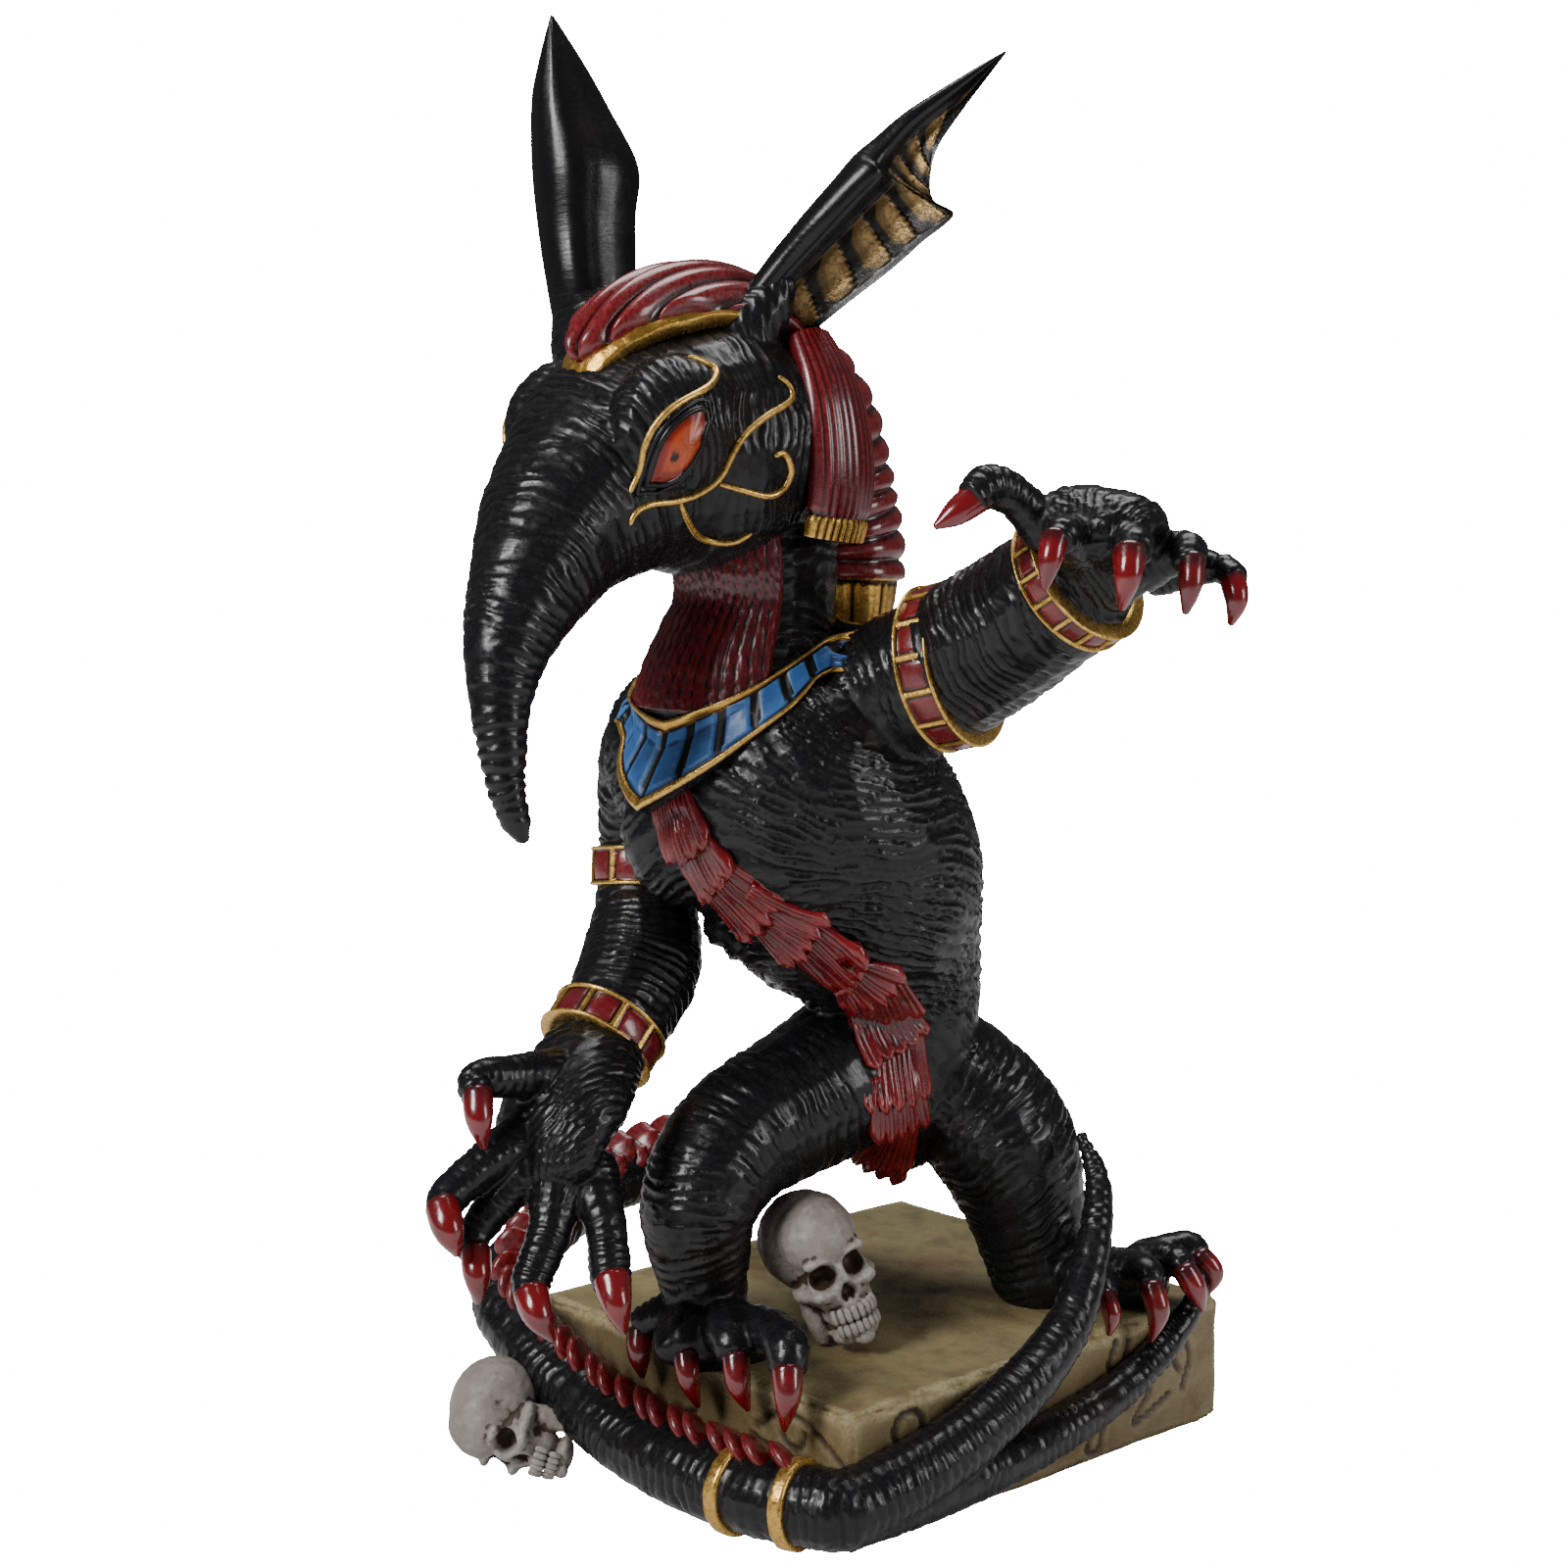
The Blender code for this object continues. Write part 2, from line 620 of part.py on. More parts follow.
def collar():
    """The broad collar round the foot of the neck, drawn down to a point in front."""
    centre = Vector((-24, -14.5, 0))
    count = 22
    rings = []
    for i in range(count):
        angle = 2 * math.pi * i / count
        front = math.cos(angle)
        out = Vector(FRONT) * front + Vector(LEFT) * math.sin(angle)
        pointed = max(0.0, front) ** 2.2
        inner_r, inner_z = 17.5, 114.5 - 7.5 * front
        outer_r = 19.2 + 7.3 * pointed
        outer_z = inner_z - 4.0 - 9.5 * pointed
        corners = [
            (inner_r - 3, inner_z - 3),
            (inner_r + 0.6, inner_z + 1.2),
            (outer_r + 0.9, outer_z + 0.6),
            (outer_r - 3.5, outer_z - 2.5),
        ]
        rings.append([at(*(centre + out * r + Vector((0, 0, z)))) for r, z in corners])
    points = [p for ring in rings for p in ring]
    faces = []
    for i in range(count):
        j = (i + 1) % count
        for k in range(4):
            m = (k + 1) % 4
            faces.append((i * 4 + k, i * 4 + m, j * 4 + m, j * 4 + k))
    return object_from("collar", points, faces)


CAP_RADII = (29.0, 19.0, 26.0)
CAP_CENTRE = (1.5, 0, 3.0)
CAP_FLUTES = 11
CAP_WIDEST = 60


def cap_point(side, over, scale, flute):
    """A point of the cap, in degrees: side from ear to ear, over from brow to nape."""
    side_angle, over_angle = math.radians(side), math.radians(over)
    ripple = 1.0 + flute * abs(math.cos(CAP_FLUTES * math.pi * (side / CAP_WIDEST + 1) / 2))
    forward, left, up = (r * scale * ripple for r in CAP_RADII)
    flat = math.cos(side_angle)
    return head_place(
        CAP_CENTRE[0] + forward * flat * math.cos(over_angle),
        CAP_CENTRE[1] + left * math.sin(side_angle),
        CAP_CENTRE[2] + up * flat * math.sin(over_angle),
    )


def cap_front(side):
    """Where the cap's front edge lies: lowest over the snout, and drawn back to the ears."""
    return 20 + 44 * min(1.0, abs(side) / 39)


def cap():
    """The fluted crown of the headdress, closed by a chord through the head."""
    columns, rows = 2 * CAP_FLUTES + 1, 6
    back = 196
    rings = []
    for row in range(rows):
        ring = []
        for column in range(columns):
            side = CAP_WIDEST * (2 * column / (columns - 1) - 1)
            over = cap_front(side) + 4 + (back - cap_front(side) - 4) * row / (rows - 1)
            ring.append(cap_point(side, over, 1.0 if row else 0.95, 0.05))
        middle = cap_front(CAP_WIDEST) + (back - cap_front(CAP_WIDEST)) * row / (rows - 1)
        ring.append(cap_point(CAP_WIDEST * 0.8, middle, 0.6, 0.0))
        ring.append(cap_point(-CAP_WIDEST * 0.8, middle, 0.6, 0.0))
        rings.append(ring)
    return loft("cap", rings)


def headband():
    """The band under the cap's front edge, drawn to a point over the snout."""
    columns = 13
    widest = 44
    rings = []
    for column in range(columns):
        side = widest * (2 * column / (columns - 1) - 1)
        point = 4.0 * max(0.0, 1 - abs(side) / 12)
        low, high = cap_front(side) - 4 - point, cap_front(side) + 7
        rings.append(
            [
                cap_point(side, low, 0.86, 0.0),
                cap_point(side, low, 0.985, 0.0),
                cap_point(side, high, 1.01, 0.0),
                cap_point(side, high, 0.86, 0.0),
            ]
        )
    return loft("headband", rings)


# Forward, up, half width and half depth, from the middle of the head.
NAPE = [
    (-17, 14, 12, 6),
    (-21, 6, 14, 9),
    (-25, -3, 14, 10.5),
    (-28, -10, 14.5, 11),
    (-29.5, -17, 14.5, 11.5),
    (-29.5, -25, 14.5, 11),
    (-29, -33.5, 13.5, 9),
]
# Forward, left, up, half width and half thickness.
SIDE_LAPPET = [
    (-9, 16, 18, 4.2, 2.5),
    (-8.5, 20.5, 11, 5, 3),
    (-8, 23, 4, 5.4, 3),
    (-8.5, 23.5, -4, 5.7, 3),
    (-8.5, 23, -10, 5.7, 2.8),
    (-8, 22, -15.5, 5.4, 2.4),
]


def nape_lappet():
    """The tail of the headdress: stacked rolls down the nape, then a straight fringe."""
    rolls, per_roll = 8, 2
    count = rolls * per_roll
    stations = [(*head_place(f, 0, u), w * MM, d * MM) for f, u, w, d in NAPE]
    samples = curve_through(stations, 4)
    centres = [Vector(s[:3]) for s in samples]
    tangents = directions(centres)
    rings = []
    for i in range(count + 1):
        k = round(i * (len(samples) - 1) / count)
        fringe = i > count - per_roll
        swell = 0.94 if fringe else (0.90, 1.07)[i % per_roll]
        wide, deep = samples[k][3] * swell, samples[k][4] * swell
        rings.append(section(centres[k], tangents[k], turned(LEFT), wide, deep, 8))
    return loft("nape_lappet", rings)


def side_lappet(side):
    """The flat lock of the headdress in front of the shoulder, behind the cheek."""
    stations = []
    for forward, left, up, wide, deep in SIDE_LAPPET:
        stations.append((*head_place(forward, left * side, up), wide * MM, deep * MM))
    centres = [Vector(s[:3]) for s in stations]
    tangents = directions(centres)
    rings = [
        section(c, t, turned(FRONT), s[3], s[4], 8)
        for c, t, s in zip(centres, tangents, stations)
    ]
    return loft("side_lappet", rings)


FEATHERS = [
    (-35, 97),
    (-33, 90),
    (-27, 82),
    (-19.5, 75),
    (-11, 69.5),
    (-4, 64),
    (0, 57),
    (1.8, 49),
    (2, 41),
    (1, 33),
    (-1.5, 26),
]


def feather_strip(trunk):
    """Overlapping tiers of feathers down the breast, each lifted at its lower edge."""
    tiers = 11
    line = curve_through([(a, 0, u) for a, u in FEATHERS], 6)
    parts = []
    for tier in range(tiers):
        ends = []
        for share in (tier, tier + 1.5):
            point = line[min(round(share * (len(line) - 1) / tiers), len(line) - 1)]
            spot, normal, _, _ = trunk.ray_cast(at(point[0], -90, point[2]), turned(AWAY))
            if spot is None:
                spot, normal, _, _ = trunk.find_nearest(at(point[0], -12, point[2]))
            ends.append((spot, normal))
        parts.append(tier_of_feathers(*ends[0], *ends[1]))
    return parts


def tier_of_feathers(root, root_normal, edge, edge_normal):
    """One tier: a slab from root to edge, with a toothed free end that stands off the skin."""
    half, sunk, lift, teeth = 6.3 * MM, 3.0 * MM, 2.2 * MM, 2
    down = (edge - root).normalized()
    rings = []
    for i in range(2 * teeth + 1):
        t = i / teeth - 1
        crown = 1.0 - 0.55 * t * t
        high = root + down.cross(root_normal).normalized() * half * 0.85 * t
        low = edge + down.cross(edge_normal).normalized() * half * t
        low += down * (0.0 if i % 2 else -1.4 * MM)
        rings.append(
            [
                high + root_normal * 0.5 * MM * crown,
                low + edge_normal * lift * crown,
                low - edge_normal * sunk,
                high - root_normal * sunk,
            ]
        )
    return loft("feathers", rings)


def ornament_parts(trunk):
    """Everything modelled on the skin in relief."""
    parts = [collar(), cap(), headband(), nape_lappet(), side_lappet(1), side_lappet(-1)]
    parts += [cuff(name) for name in CUFFS]
    return parts + feather_strip(trunk)


# Skulls

def skull(name, size, centre, turn, cutters):
    """A skull with eye sockets, nose, cheekbones, teeth and jaw. It looks along its own -Y."""
    axes = [Vector((1, 0, 0)), Vector((0, 1, 0)), Vector((0, 0, 1))]
    s = size / 26.5
    move = Matrix.Translation(centre) @ turn

    def lump(x, y, z, rx, ry, rz, segments=8, rings=4):
        return ball("lump", Vector((x, y, z)) * s, (rx * s, ry * s, rz * s), axes, segments, rings)

    solids = [
        lump(0, 2.5, 4.5, 8.6, 10.2, 8.8, 12, 7),
        lump(0, -4.5, -1.5, 6.6, 4.6, 6.5, 8, 6),
        lump(5.0, -3.0, -2.3, 2.6, 4.2, 1.8, 6, 4),
        lump(-5.0, -3.0, -2.3, 2.6, 4.2, 1.8, 6, 4),
        lump(0, -4.6, -7.2, 4.9, 4.4, 3.6),
        lump(0, -5.0, -11.2, 4.4, 4.0, 2.4),
        lump(4.8, -0.6, -7.0, 1.9, 2.8, 6.6, 6, 4),
        lump(-4.8, -0.6, -7.0, 1.9, 2.8, 6.6, 6, 4),
        teeth(s),
    ]
    hollows = [
        lump(3.1, -9.2, 0.6, 2.3, 3.4, 2.1),
        lump(-3.1, -9.2, 0.6, 2.3, 3.4, 2.1),
        lump(0, -9.6, -3.4, 1.15, 2.6, 1.7, 6, 4),
        lump(6.3, -5.4, -6.0, 2.0, 2.6, 1.9, 6, 4),
        lump(-6.3, -5.4, -6.0, 2.0, 2.6, 1.9, 6, 4),
    ]
    for shape in solids + hollows:
        shape.data.transform(move)
    return fuse(name, solids, hollows + cutters, "bone", "MANIFOLD")


def teeth(s):
    """Both rows of teeth as one arched strip, notched between the teeth and between the rows."""
    count = 5
    rings = []
    for i in range(2 * count + 1):
        angle = math.radians((i / count - 1) * 62)
        radius = 4.1 + (0.75 if i % 2 else 0.25)
        bent = [(3.0, -5.9), (radius, -6.2), (radius, -8.2), (3.9, -8.5)]
        bent += [(radius, -8.8), (radius - 0.2, -10.4), (3.0, -10.6)]
        rings.append(
            [Vector((r * math.sin(angle), -4.9 - r * math.cos(angle), z)) * s for r, z in bent]
        )
    return loft("teeth", rings)


# Joining


def fuse(name, solids, cutters, finish, solver="EXACT"):
    """One solid: the first shapes united, and the rest cut away."""
    base = solids[0]
    groups = []
    for operation, members in (("UNION", solids[1:]), ("DIFFERENCE", cutters)):
        group = bpy.data.collections.new(name)
        groups.append(group)
        for member in members:
            group.objects.link(member)
        if members:
            step = base.modifiers.new(operation.lower(), "BOOLEAN")
            step.operation = operation
            step.operand_type = "COLLECTION"
            step.collection = group
            step.solver = solver
    flat = base.modifiers.new("flat", "DECIMATE")
    flat.decimate_type = "DISSOLVE"
    flat.angle_limit = FLAT_ENOUGH
    graph = bpy.context.evaluated_depsgraph_get()
    mesh = bpy.data.meshes.new_from_object(base.evaluated_get(graph))
    mesh.name = name
    for used in [*solids, *cutters]:
        bpy.data.objects.remove(used)
    for group in groups:
        bpy.data.collections.remove(group)
    made = bpy.data.objects.new(name, mesh)
    bpy.context.scene.collection.objects.link(made)
    drop_pockets(mesh)
    mesh.materials.clear()
    mesh.materials.append(material(finish))
    mesh.shade_smooth()
    mesh.set_sharp_from_angle(angle=math.radians(40))
    return made


def shells_of(shape):
    """The connected surfaces of a mesh, each as a set of faces."""
    left = set(shape.faces)
    shells = []
    while left:
        front = [left.pop()]
        shell = set(front)
        while front:
            for edge in front.pop().edges:
                for face in edge.link_faces:
                    if face in left:
                        left.remove(face)
                        shell.add(face)
                        front.append(face)
        shells.append(shell)
    return shells


def volume_under(faces):
    """The signed volume inside a closed surface: negative where the surface lines a pocket."""
    total = 0.0
    for face in faces:
        corners = [loop.vert.co for loop in face.loops]
        for b, c in zip(corners[1:], corners[2:]):
            total += corners[0].dot(b.cross(c)) / 6
    return total


def drop_pockets(mesh):
    """Fills the closed pockets that shapes leave between them where they are united."""
    shape = bmesh.new()
    shape.from_mesh(mesh)
    bmesh.ops.dissolve_degenerate(shape, dist=0.000001, edges=shape.edges)
    for shell in shells_of(shape):
        if volume_under(shell) <= 0.0:
            bmesh.ops.delete(shape, geom=list(shell), context="FACES")
    loose = [vert for vert in shape.verts if not vert.link_faces]
    bmesh.ops.delete(shape, geom=loose, context="VERTS")
    shape.to_mesh(mesh)
    shape.free()


def block(name, low, high):
    """A box between two corners."""
    shape = bmesh.new()
    bmesh.ops.create_cube(shape, size=1.0)
    low, high = Vector(low), Vector(high)
    for vert in shape.verts:
        vert.co = [a + (c + 0.5) * (b - a) for c, a, b in zip(vert.co, low, high)]
    mesh = bpy.data.meshes.new(name)
    shape.to_mesh(mesh)
    shape.free()
    made = bpy.data.objects.new(name, mesh)
    bpy.context.scene.collection.objects.link(made)
    return made


# Slab


def groove(place, middle, points):
    """A carved line on a side: points (along, up) in slab heights from a share of its length."""
    stations = [(*place(middle, along, up), GROOVE_RADIUS) for along, up in points]
    return rope("groove", stations, 6, 1)


def arc(centre, radius, start, end, steps):
    """Points (along, up) on an arc, in degrees."""
    made = []
    for i in range(steps + 1):
        angle = math.radians(start + (end - start) * i / steps)
        made.append((centre[0] + radius * math.cos(angle), centre[1] + radius * math.sin(angle)))
    return made


def front_face(middle, along, up):
    """A point of the front side: middle is a share of its width, the rest is in slab heights."""
    x = middle * PLINTH_WIDTH + along * PLINTH_HEIGHT
    return Vector((x, -SIDE_Y, up * PLINTH_HEIGHT))


def right_face(middle, along, up):
    """A point of the right side: middle is a share of its length, the rest is in slab heights."""
    y = middle * PLINTH_LENGTH + along * PLINTH_HEIGHT
    return Vector((SIDE_X, y, up * PLINTH_HEIGHT))


def glyphs():
    """An eye on the front side by its corner, and strokes that spell nothing on the right side."""
    eye = [
        [(0.52, 0.62), (0.20, 0.80), (-0.10, 0.84), (-0.40, 0.66)],
        [(0.46, 0.55), (0.10, 0.50), (-0.20, 0.54), (-0.44, 0.58)],
        [(-0.12, 0.76), (-0.08, 0.63), (0.06, 0.62), (0.12, 0.74)],
    ]
    tears = [[(-0.06, 0.80), (0.02, 0.70), (-0.03, 0.56), (-0.12, 0.52)]]
    rows = [
        (-0.36, [arc((0.0, 0.78), 0.13, -60, 240, 6)]),
        (-0.05, [[(0.0, 0.82), (0.06, 0.62), (0.02, 0.44)], [(-0.16, 0.66), (-0.12, 0.44)]]),
        (0.13, [[(0.02, 0.30), (-0.06, 0.12), (0.06, 0.10), (0.10, 0.32)]]),
        (0.20, [[(-0.05, 0.90), (-0.12, 0.72), (0.0, 0.66), (0.10, 0.86)]]),
        (0.26, [[(0.0, 0.50), (0.13, 0.42), (-0.06, 0.20), (0.18, 0.26), (0.34, 0.34)]]),
        (0.38, [[(0.02, 0.36), (0.10, 0.60), (0.02, 0.78)], [(-0.10, 0.62), (-0.02, 0.50)]]),
    ]
    lines = [groove(front_face, 0.33, points) for points in eye]
    lines += [groove(front_face, 0.03, points) for points in tears]
    for middle, strokes in rows:
        lines += [groove(right_face, middle, points) for points in strokes]
    return lines


def plinth():
    """The slab with softened edges and carved sides."""
    slab = block("slab", (-SIDE_X, -SIDE_Y, 0), (SIDE_X, SIDE_Y, PLINTH_HEIGHT))
    shape = bmesh.new()
    shape.from_mesh(slab.data)
    bmesh.ops.bevel(
        shape,
        geom=shape.edges[:],
        offset=PLINTH_BEVEL,
        segments=2,
        profile=0.5,
        affect="EDGES",
    )
    shape.to_mesh(slab.data)
    shape.free()
    return fuse("plinth", [slab], glyphs(), "stone")


def clearance_block():
    """The room that the slab and the ground take from the figure."""
    reach = FIT_GAP
    return block(
        "slab_room",
        (-SIDE_X - reach, -SIDE_Y - reach, -PLINTH_HEIGHT),
        (SIDE_X + reach, SIDE_Y + reach, PLINTH_HEIGHT + reach),
    )


def ground_block(top):
    """Everything under a level."""
    wide = PLINTH_WIDTH + PLINTH_LENGTH + FIGURE_HEIGHT
    return block("ground", (-wide, -wide, -wide), (wide, wide, top))


def figure():
    """The whole figure, cast as one."""
    trunk = trunk_parts()
    graph = bpy.context.evaluated_depsgraph_get()
    surface = BVHTree.FromObject(trunk[0], graph)
    parts = trunk + ear_parts() + arm_parts() + leg_parts() + tail_parts()
    parts += ornament_parts(surface)
    cutters = [clearance_block(), ground_block(FIT_GAP)]
    # So many shapes cross here that the exact solver leaves open edges.
    return fuse("seth_figure", parts, cutters, "skin", "MANIFOLD")


def skulls():
    """One skull lies on the slab by the bent leg, the other on the ground under the tail."""
    gap = FIT_GAP
    tilt = Matrix.Rotation(math.radians(-20), 4, "Y") @ Matrix.Rotation(math.radians(24), 4, "Z")
    seat = Vector((0.0, 0.0, UPPER_SKULL * 0.5))
    cutters = [
        swept("leg_room", FAR_LEG, 10, 2, grow=gap),
        swept("foot_room", FAR_FOOT, 8, 1, side=(1, 0.3, 0), grow=gap),
        ground_block(PLINTH_HEIGHT + gap),
    ]
    cutters += [swept("toe_room", toe, 6, 1, grow=gap) for toe in FAR_TOES]
    facing = Matrix.Rotation(POSE_TURN, 4, "Z")
    skull("skull_on_plinth", UPPER_SKULL, at(-11, -25, 0) + seat, facing @ tilt, cutters)

    roll = Matrix.Rotation(math.radians(-73), 4, "Y") @ Matrix.Rotation(math.radians(-30), 4, "Z")
    place = Vector((-SIDE_X * 0.60, -SIDE_Y - 18 * MM, LOWER_SKULL * 0.36))
    cutters = [tail_body(gap), clearance_block(), ground_block(0.0)]
    skull("skull_beside_plinth", LOWER_SKULL, place, facing @ roll, cutters)


def main():
    for old in list(bpy.data.objects):
        bpy.data.objects.remove(old)
    plinth()
    figure()
    skulls()


main()
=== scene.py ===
import math

import bmesh
import bpy
import numpy as np
from mathutils import Matrix, Vector
from mathutils.bvhtree import BVHTree


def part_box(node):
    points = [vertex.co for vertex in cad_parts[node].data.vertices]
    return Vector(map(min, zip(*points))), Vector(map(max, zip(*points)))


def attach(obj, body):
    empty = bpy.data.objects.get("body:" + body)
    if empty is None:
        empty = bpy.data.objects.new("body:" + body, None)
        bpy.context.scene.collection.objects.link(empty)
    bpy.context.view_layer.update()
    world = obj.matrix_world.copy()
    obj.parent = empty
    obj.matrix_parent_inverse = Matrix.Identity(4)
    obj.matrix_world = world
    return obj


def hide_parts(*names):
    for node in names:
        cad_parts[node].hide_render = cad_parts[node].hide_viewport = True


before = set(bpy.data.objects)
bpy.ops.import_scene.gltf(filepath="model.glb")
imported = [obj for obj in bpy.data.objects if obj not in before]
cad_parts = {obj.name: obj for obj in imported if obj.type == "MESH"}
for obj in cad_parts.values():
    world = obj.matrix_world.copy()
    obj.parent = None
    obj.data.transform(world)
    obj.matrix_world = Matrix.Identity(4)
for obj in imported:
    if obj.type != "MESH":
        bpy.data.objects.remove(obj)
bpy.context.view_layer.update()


# Slab
# The block of cast resin that the figurine stands on, painted as weathered olive stone. An eye is
# carved on its front side and rows of strokes on its right side, both filled with dark paint.

SIDE_X, SIDE_Y, SLAB_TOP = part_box("plinth")[1]
# The figure stands 230.3 of its own millimetres over the slab, and MM is one of them in metres.
FIGURE_HEIGHT = 230.3
MM = (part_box("seth_figure")[1].z - SLAB_TOP) / FIGURE_HEIGHT
SLAB_CELL = 0.74 * MM
SLAB_EDGE = 1.3 * MM
# The share of the edges' radius that is worn off, before the chips deepen it.
EDGE_WEAR = 0.35
STROKE_WIDTH = 0.62 * MM
STROKE_DEPTH = 0.75 * MM


def uneven(points, size, seed):
    """Smooth random values from -1 to 1 at points, with swellings about that size apart."""
    chance = np.random.default_rng(seed)
    total = np.zeros(len(points))
    for _ in range(14):
        direction = chance.normal(size=3)
        direction /= np.linalg.norm(direction)
        pace = 2 * math.pi / (size * chance.uniform(0.75, 1.7))
        total += np.sin(points @ direction * pace + chance.uniform(0, 2 * math.pi))
    return np.clip(total / 4.5, -1, 1)


def smoothstep(value, low, high):
    """0 below low, 1 above high, and a soft step between."""
    t = np.clip((value - low) / (high - low), 0, 1)
    return t * t * (3 - 2 * t)


def in_scene(name, data):
    """A new object in the scene for a mesh, a light or a camera."""
    made = bpy.data.objects.new(name, data)
    bpy.context.scene.collection.objects.link(made)
    return made


def places_of(mesh):
    """Vertex places of a mesh as an array."""
    flat = np.zeros(len(mesh.vertices) * 3, np.float32)
    mesh.vertices.foreach_get("co", flat)
    return flat.reshape(-1, 3).astype(float)


def normals_of(mesh):
    """Vertex normals of a mesh as an array."""
    flat = np.zeros(len(mesh.vertices) * 3, np.float32)
    mesh.vertex_normals.foreach_get("vector", flat)
    return flat.reshape(-1, 3).astype(float)


def move_to(mesh, points):
    """Puts the vertices of a mesh at new places."""
    mesh.vertices.foreach_set("co", np.asarray(points, np.float32).ravel())
    mesh.update()


def edges_of(mesh):
    """Vertex pairs of a mesh's edges as an array."""
    flat = np.zeros(len(mesh.edges) * 2, np.int32)
    mesh.edges.foreach_get("vertices", flat)
    return flat.reshape(-1, 2)


def neighbour_mean(values, edges, count):
    """For each vertex, the mean of the values at the other ends of its edges."""
    a, b = edges[:, 0], edges[:, 1]
    degree = np.bincount(a, minlength=count) + np.bincount(b, minlength=count)
    columns = []
    for column in values.reshape(count, -1).T:
        total = np.bincount(a, column[b], count) + np.bincount(b, column[a], count)
        columns.append(total / np.maximum(degree, 1))
    return np.stack(columns, 1).reshape(values.shape)


def store(mesh, name, values):
    """Keeps one number per vertex for the paint to read."""
    kept = mesh.attributes.new(name, "FLOAT", "POINT")
    kept.data.foreach_set("value", np.asarray(values, np.float32))


def mark_ridges(mesh, reach, rounds=1):
    """Stores how far each vertex stands over its neighbours: 0 in a hollow, 0.5 flat, 1 on a ridge."""
    points, edges = places_of(mesh), edges_of(mesh)
    count = len(points)
    smoothed = points
    for _ in range(rounds):
        smoothed = neighbour_mean(smoothed, edges, count)
    proud = ((points - smoothed) * normals_of(mesh)).sum(1)
    proud = 0.5 * proud + 0.5 * neighbour_mean(proud, edges, count)
    store(mesh, "ridge", np.clip(0.5 + 0.5 * proud / reach, 0, 1))


def new_group(name, inputs, outputs):
    """An empty shader node group with named sockets, its input node and its output node."""
    group = bpy.data.node_groups.new(name, "ShaderNodeTree")
    for label, kind, value in inputs:
        socket = group.interface.new_socket(label, in_out="INPUT", socket_type=kind)
        socket.default_value = value
    for label, kind in outputs:
        group.interface.new_socket(label, in_out="OUTPUT", socket_type=kind)
    return group, group.nodes.new("NodeGroupInput"), group.nodes.new("NodeGroupOutput")


def node(tree, kind, values=(), **settings):
    """A shader node with its settings and its unlinked input values."""
    made = tree.nodes.new(kind)
    for key, value in settings.items():
        setattr(made, key, value)
    for key, value in dict(values).items():
        made.inputs[key].default_value = value
    return made


def maths(tree, operation, first, second=0.0, clamp=False):
    """A maths node: each input is a number or a socket."""
    made = node(tree, "ShaderNodeMath", operation=operation, use_clamp=clamp)
    for i, value in enumerate((first, second)):
        if isinstance(value, (int, float)):
            made.inputs[i].default_value = value
        else:
            tree.links.new(value, made.inputs[i])
    return made.outputs[0]


def mixed(tree, share, first, second):
    """A colour mix: share is a socket, and each colour is a tuple or a socket."""
    made = node(tree, "ShaderNodeMix", data_type="RGBA")
    tree.links.new(share, made.inputs["Factor"])
    for socket, value in ((made.inputs[6], first), (made.inputs[7], second)):
        if isinstance(value, tuple):
            socket.default_value = (*value, 1.0)
        else:
            tree.links.new(value, socket)
    return made.outputs[2]


def span(tree, value, low, high, start=0.0, end=1.0):
    """A socket rescaled from low..high to start..end, softly."""
    made = node(
        tree,
        "ShaderNodeMapRange",
        {"From Min": low, "From Max": high, "To Min": start, "To Max": end},
        interpolation_type="SMOOTHSTEP",
    )
    tree.links.new(value, made.inputs["Value"])
    return made.outputs["Result"]


def noise(tree, scale, detail=4.0, rough=0.55, stretch=None):
    """Values of a noise texture on the object's own coordinates, in features per metre."""
    coords = node(tree, "ShaderNodeTexCoord").outputs["Object"]
    if stretch:
        moved = node(tree, "ShaderNodeMapping", {"Scale": stretch})
        tree.links.new(coords, moved.inputs["Vector"])
        coords = moved.outputs["Vector"]
    made = node(
        tree, "ShaderNodeTexNoise", {"Scale": scale, "Detail": detail, "Roughness": rough}
    )
    tree.links.new(coords, made.inputs["Vector"])
    return made.outputs["Fac"]


def attribute(tree, name):
    """The number stored at each vertex under that name."""
    return node(tree, "ShaderNodeAttribute", attribute_name=name).outputs["Fac"]


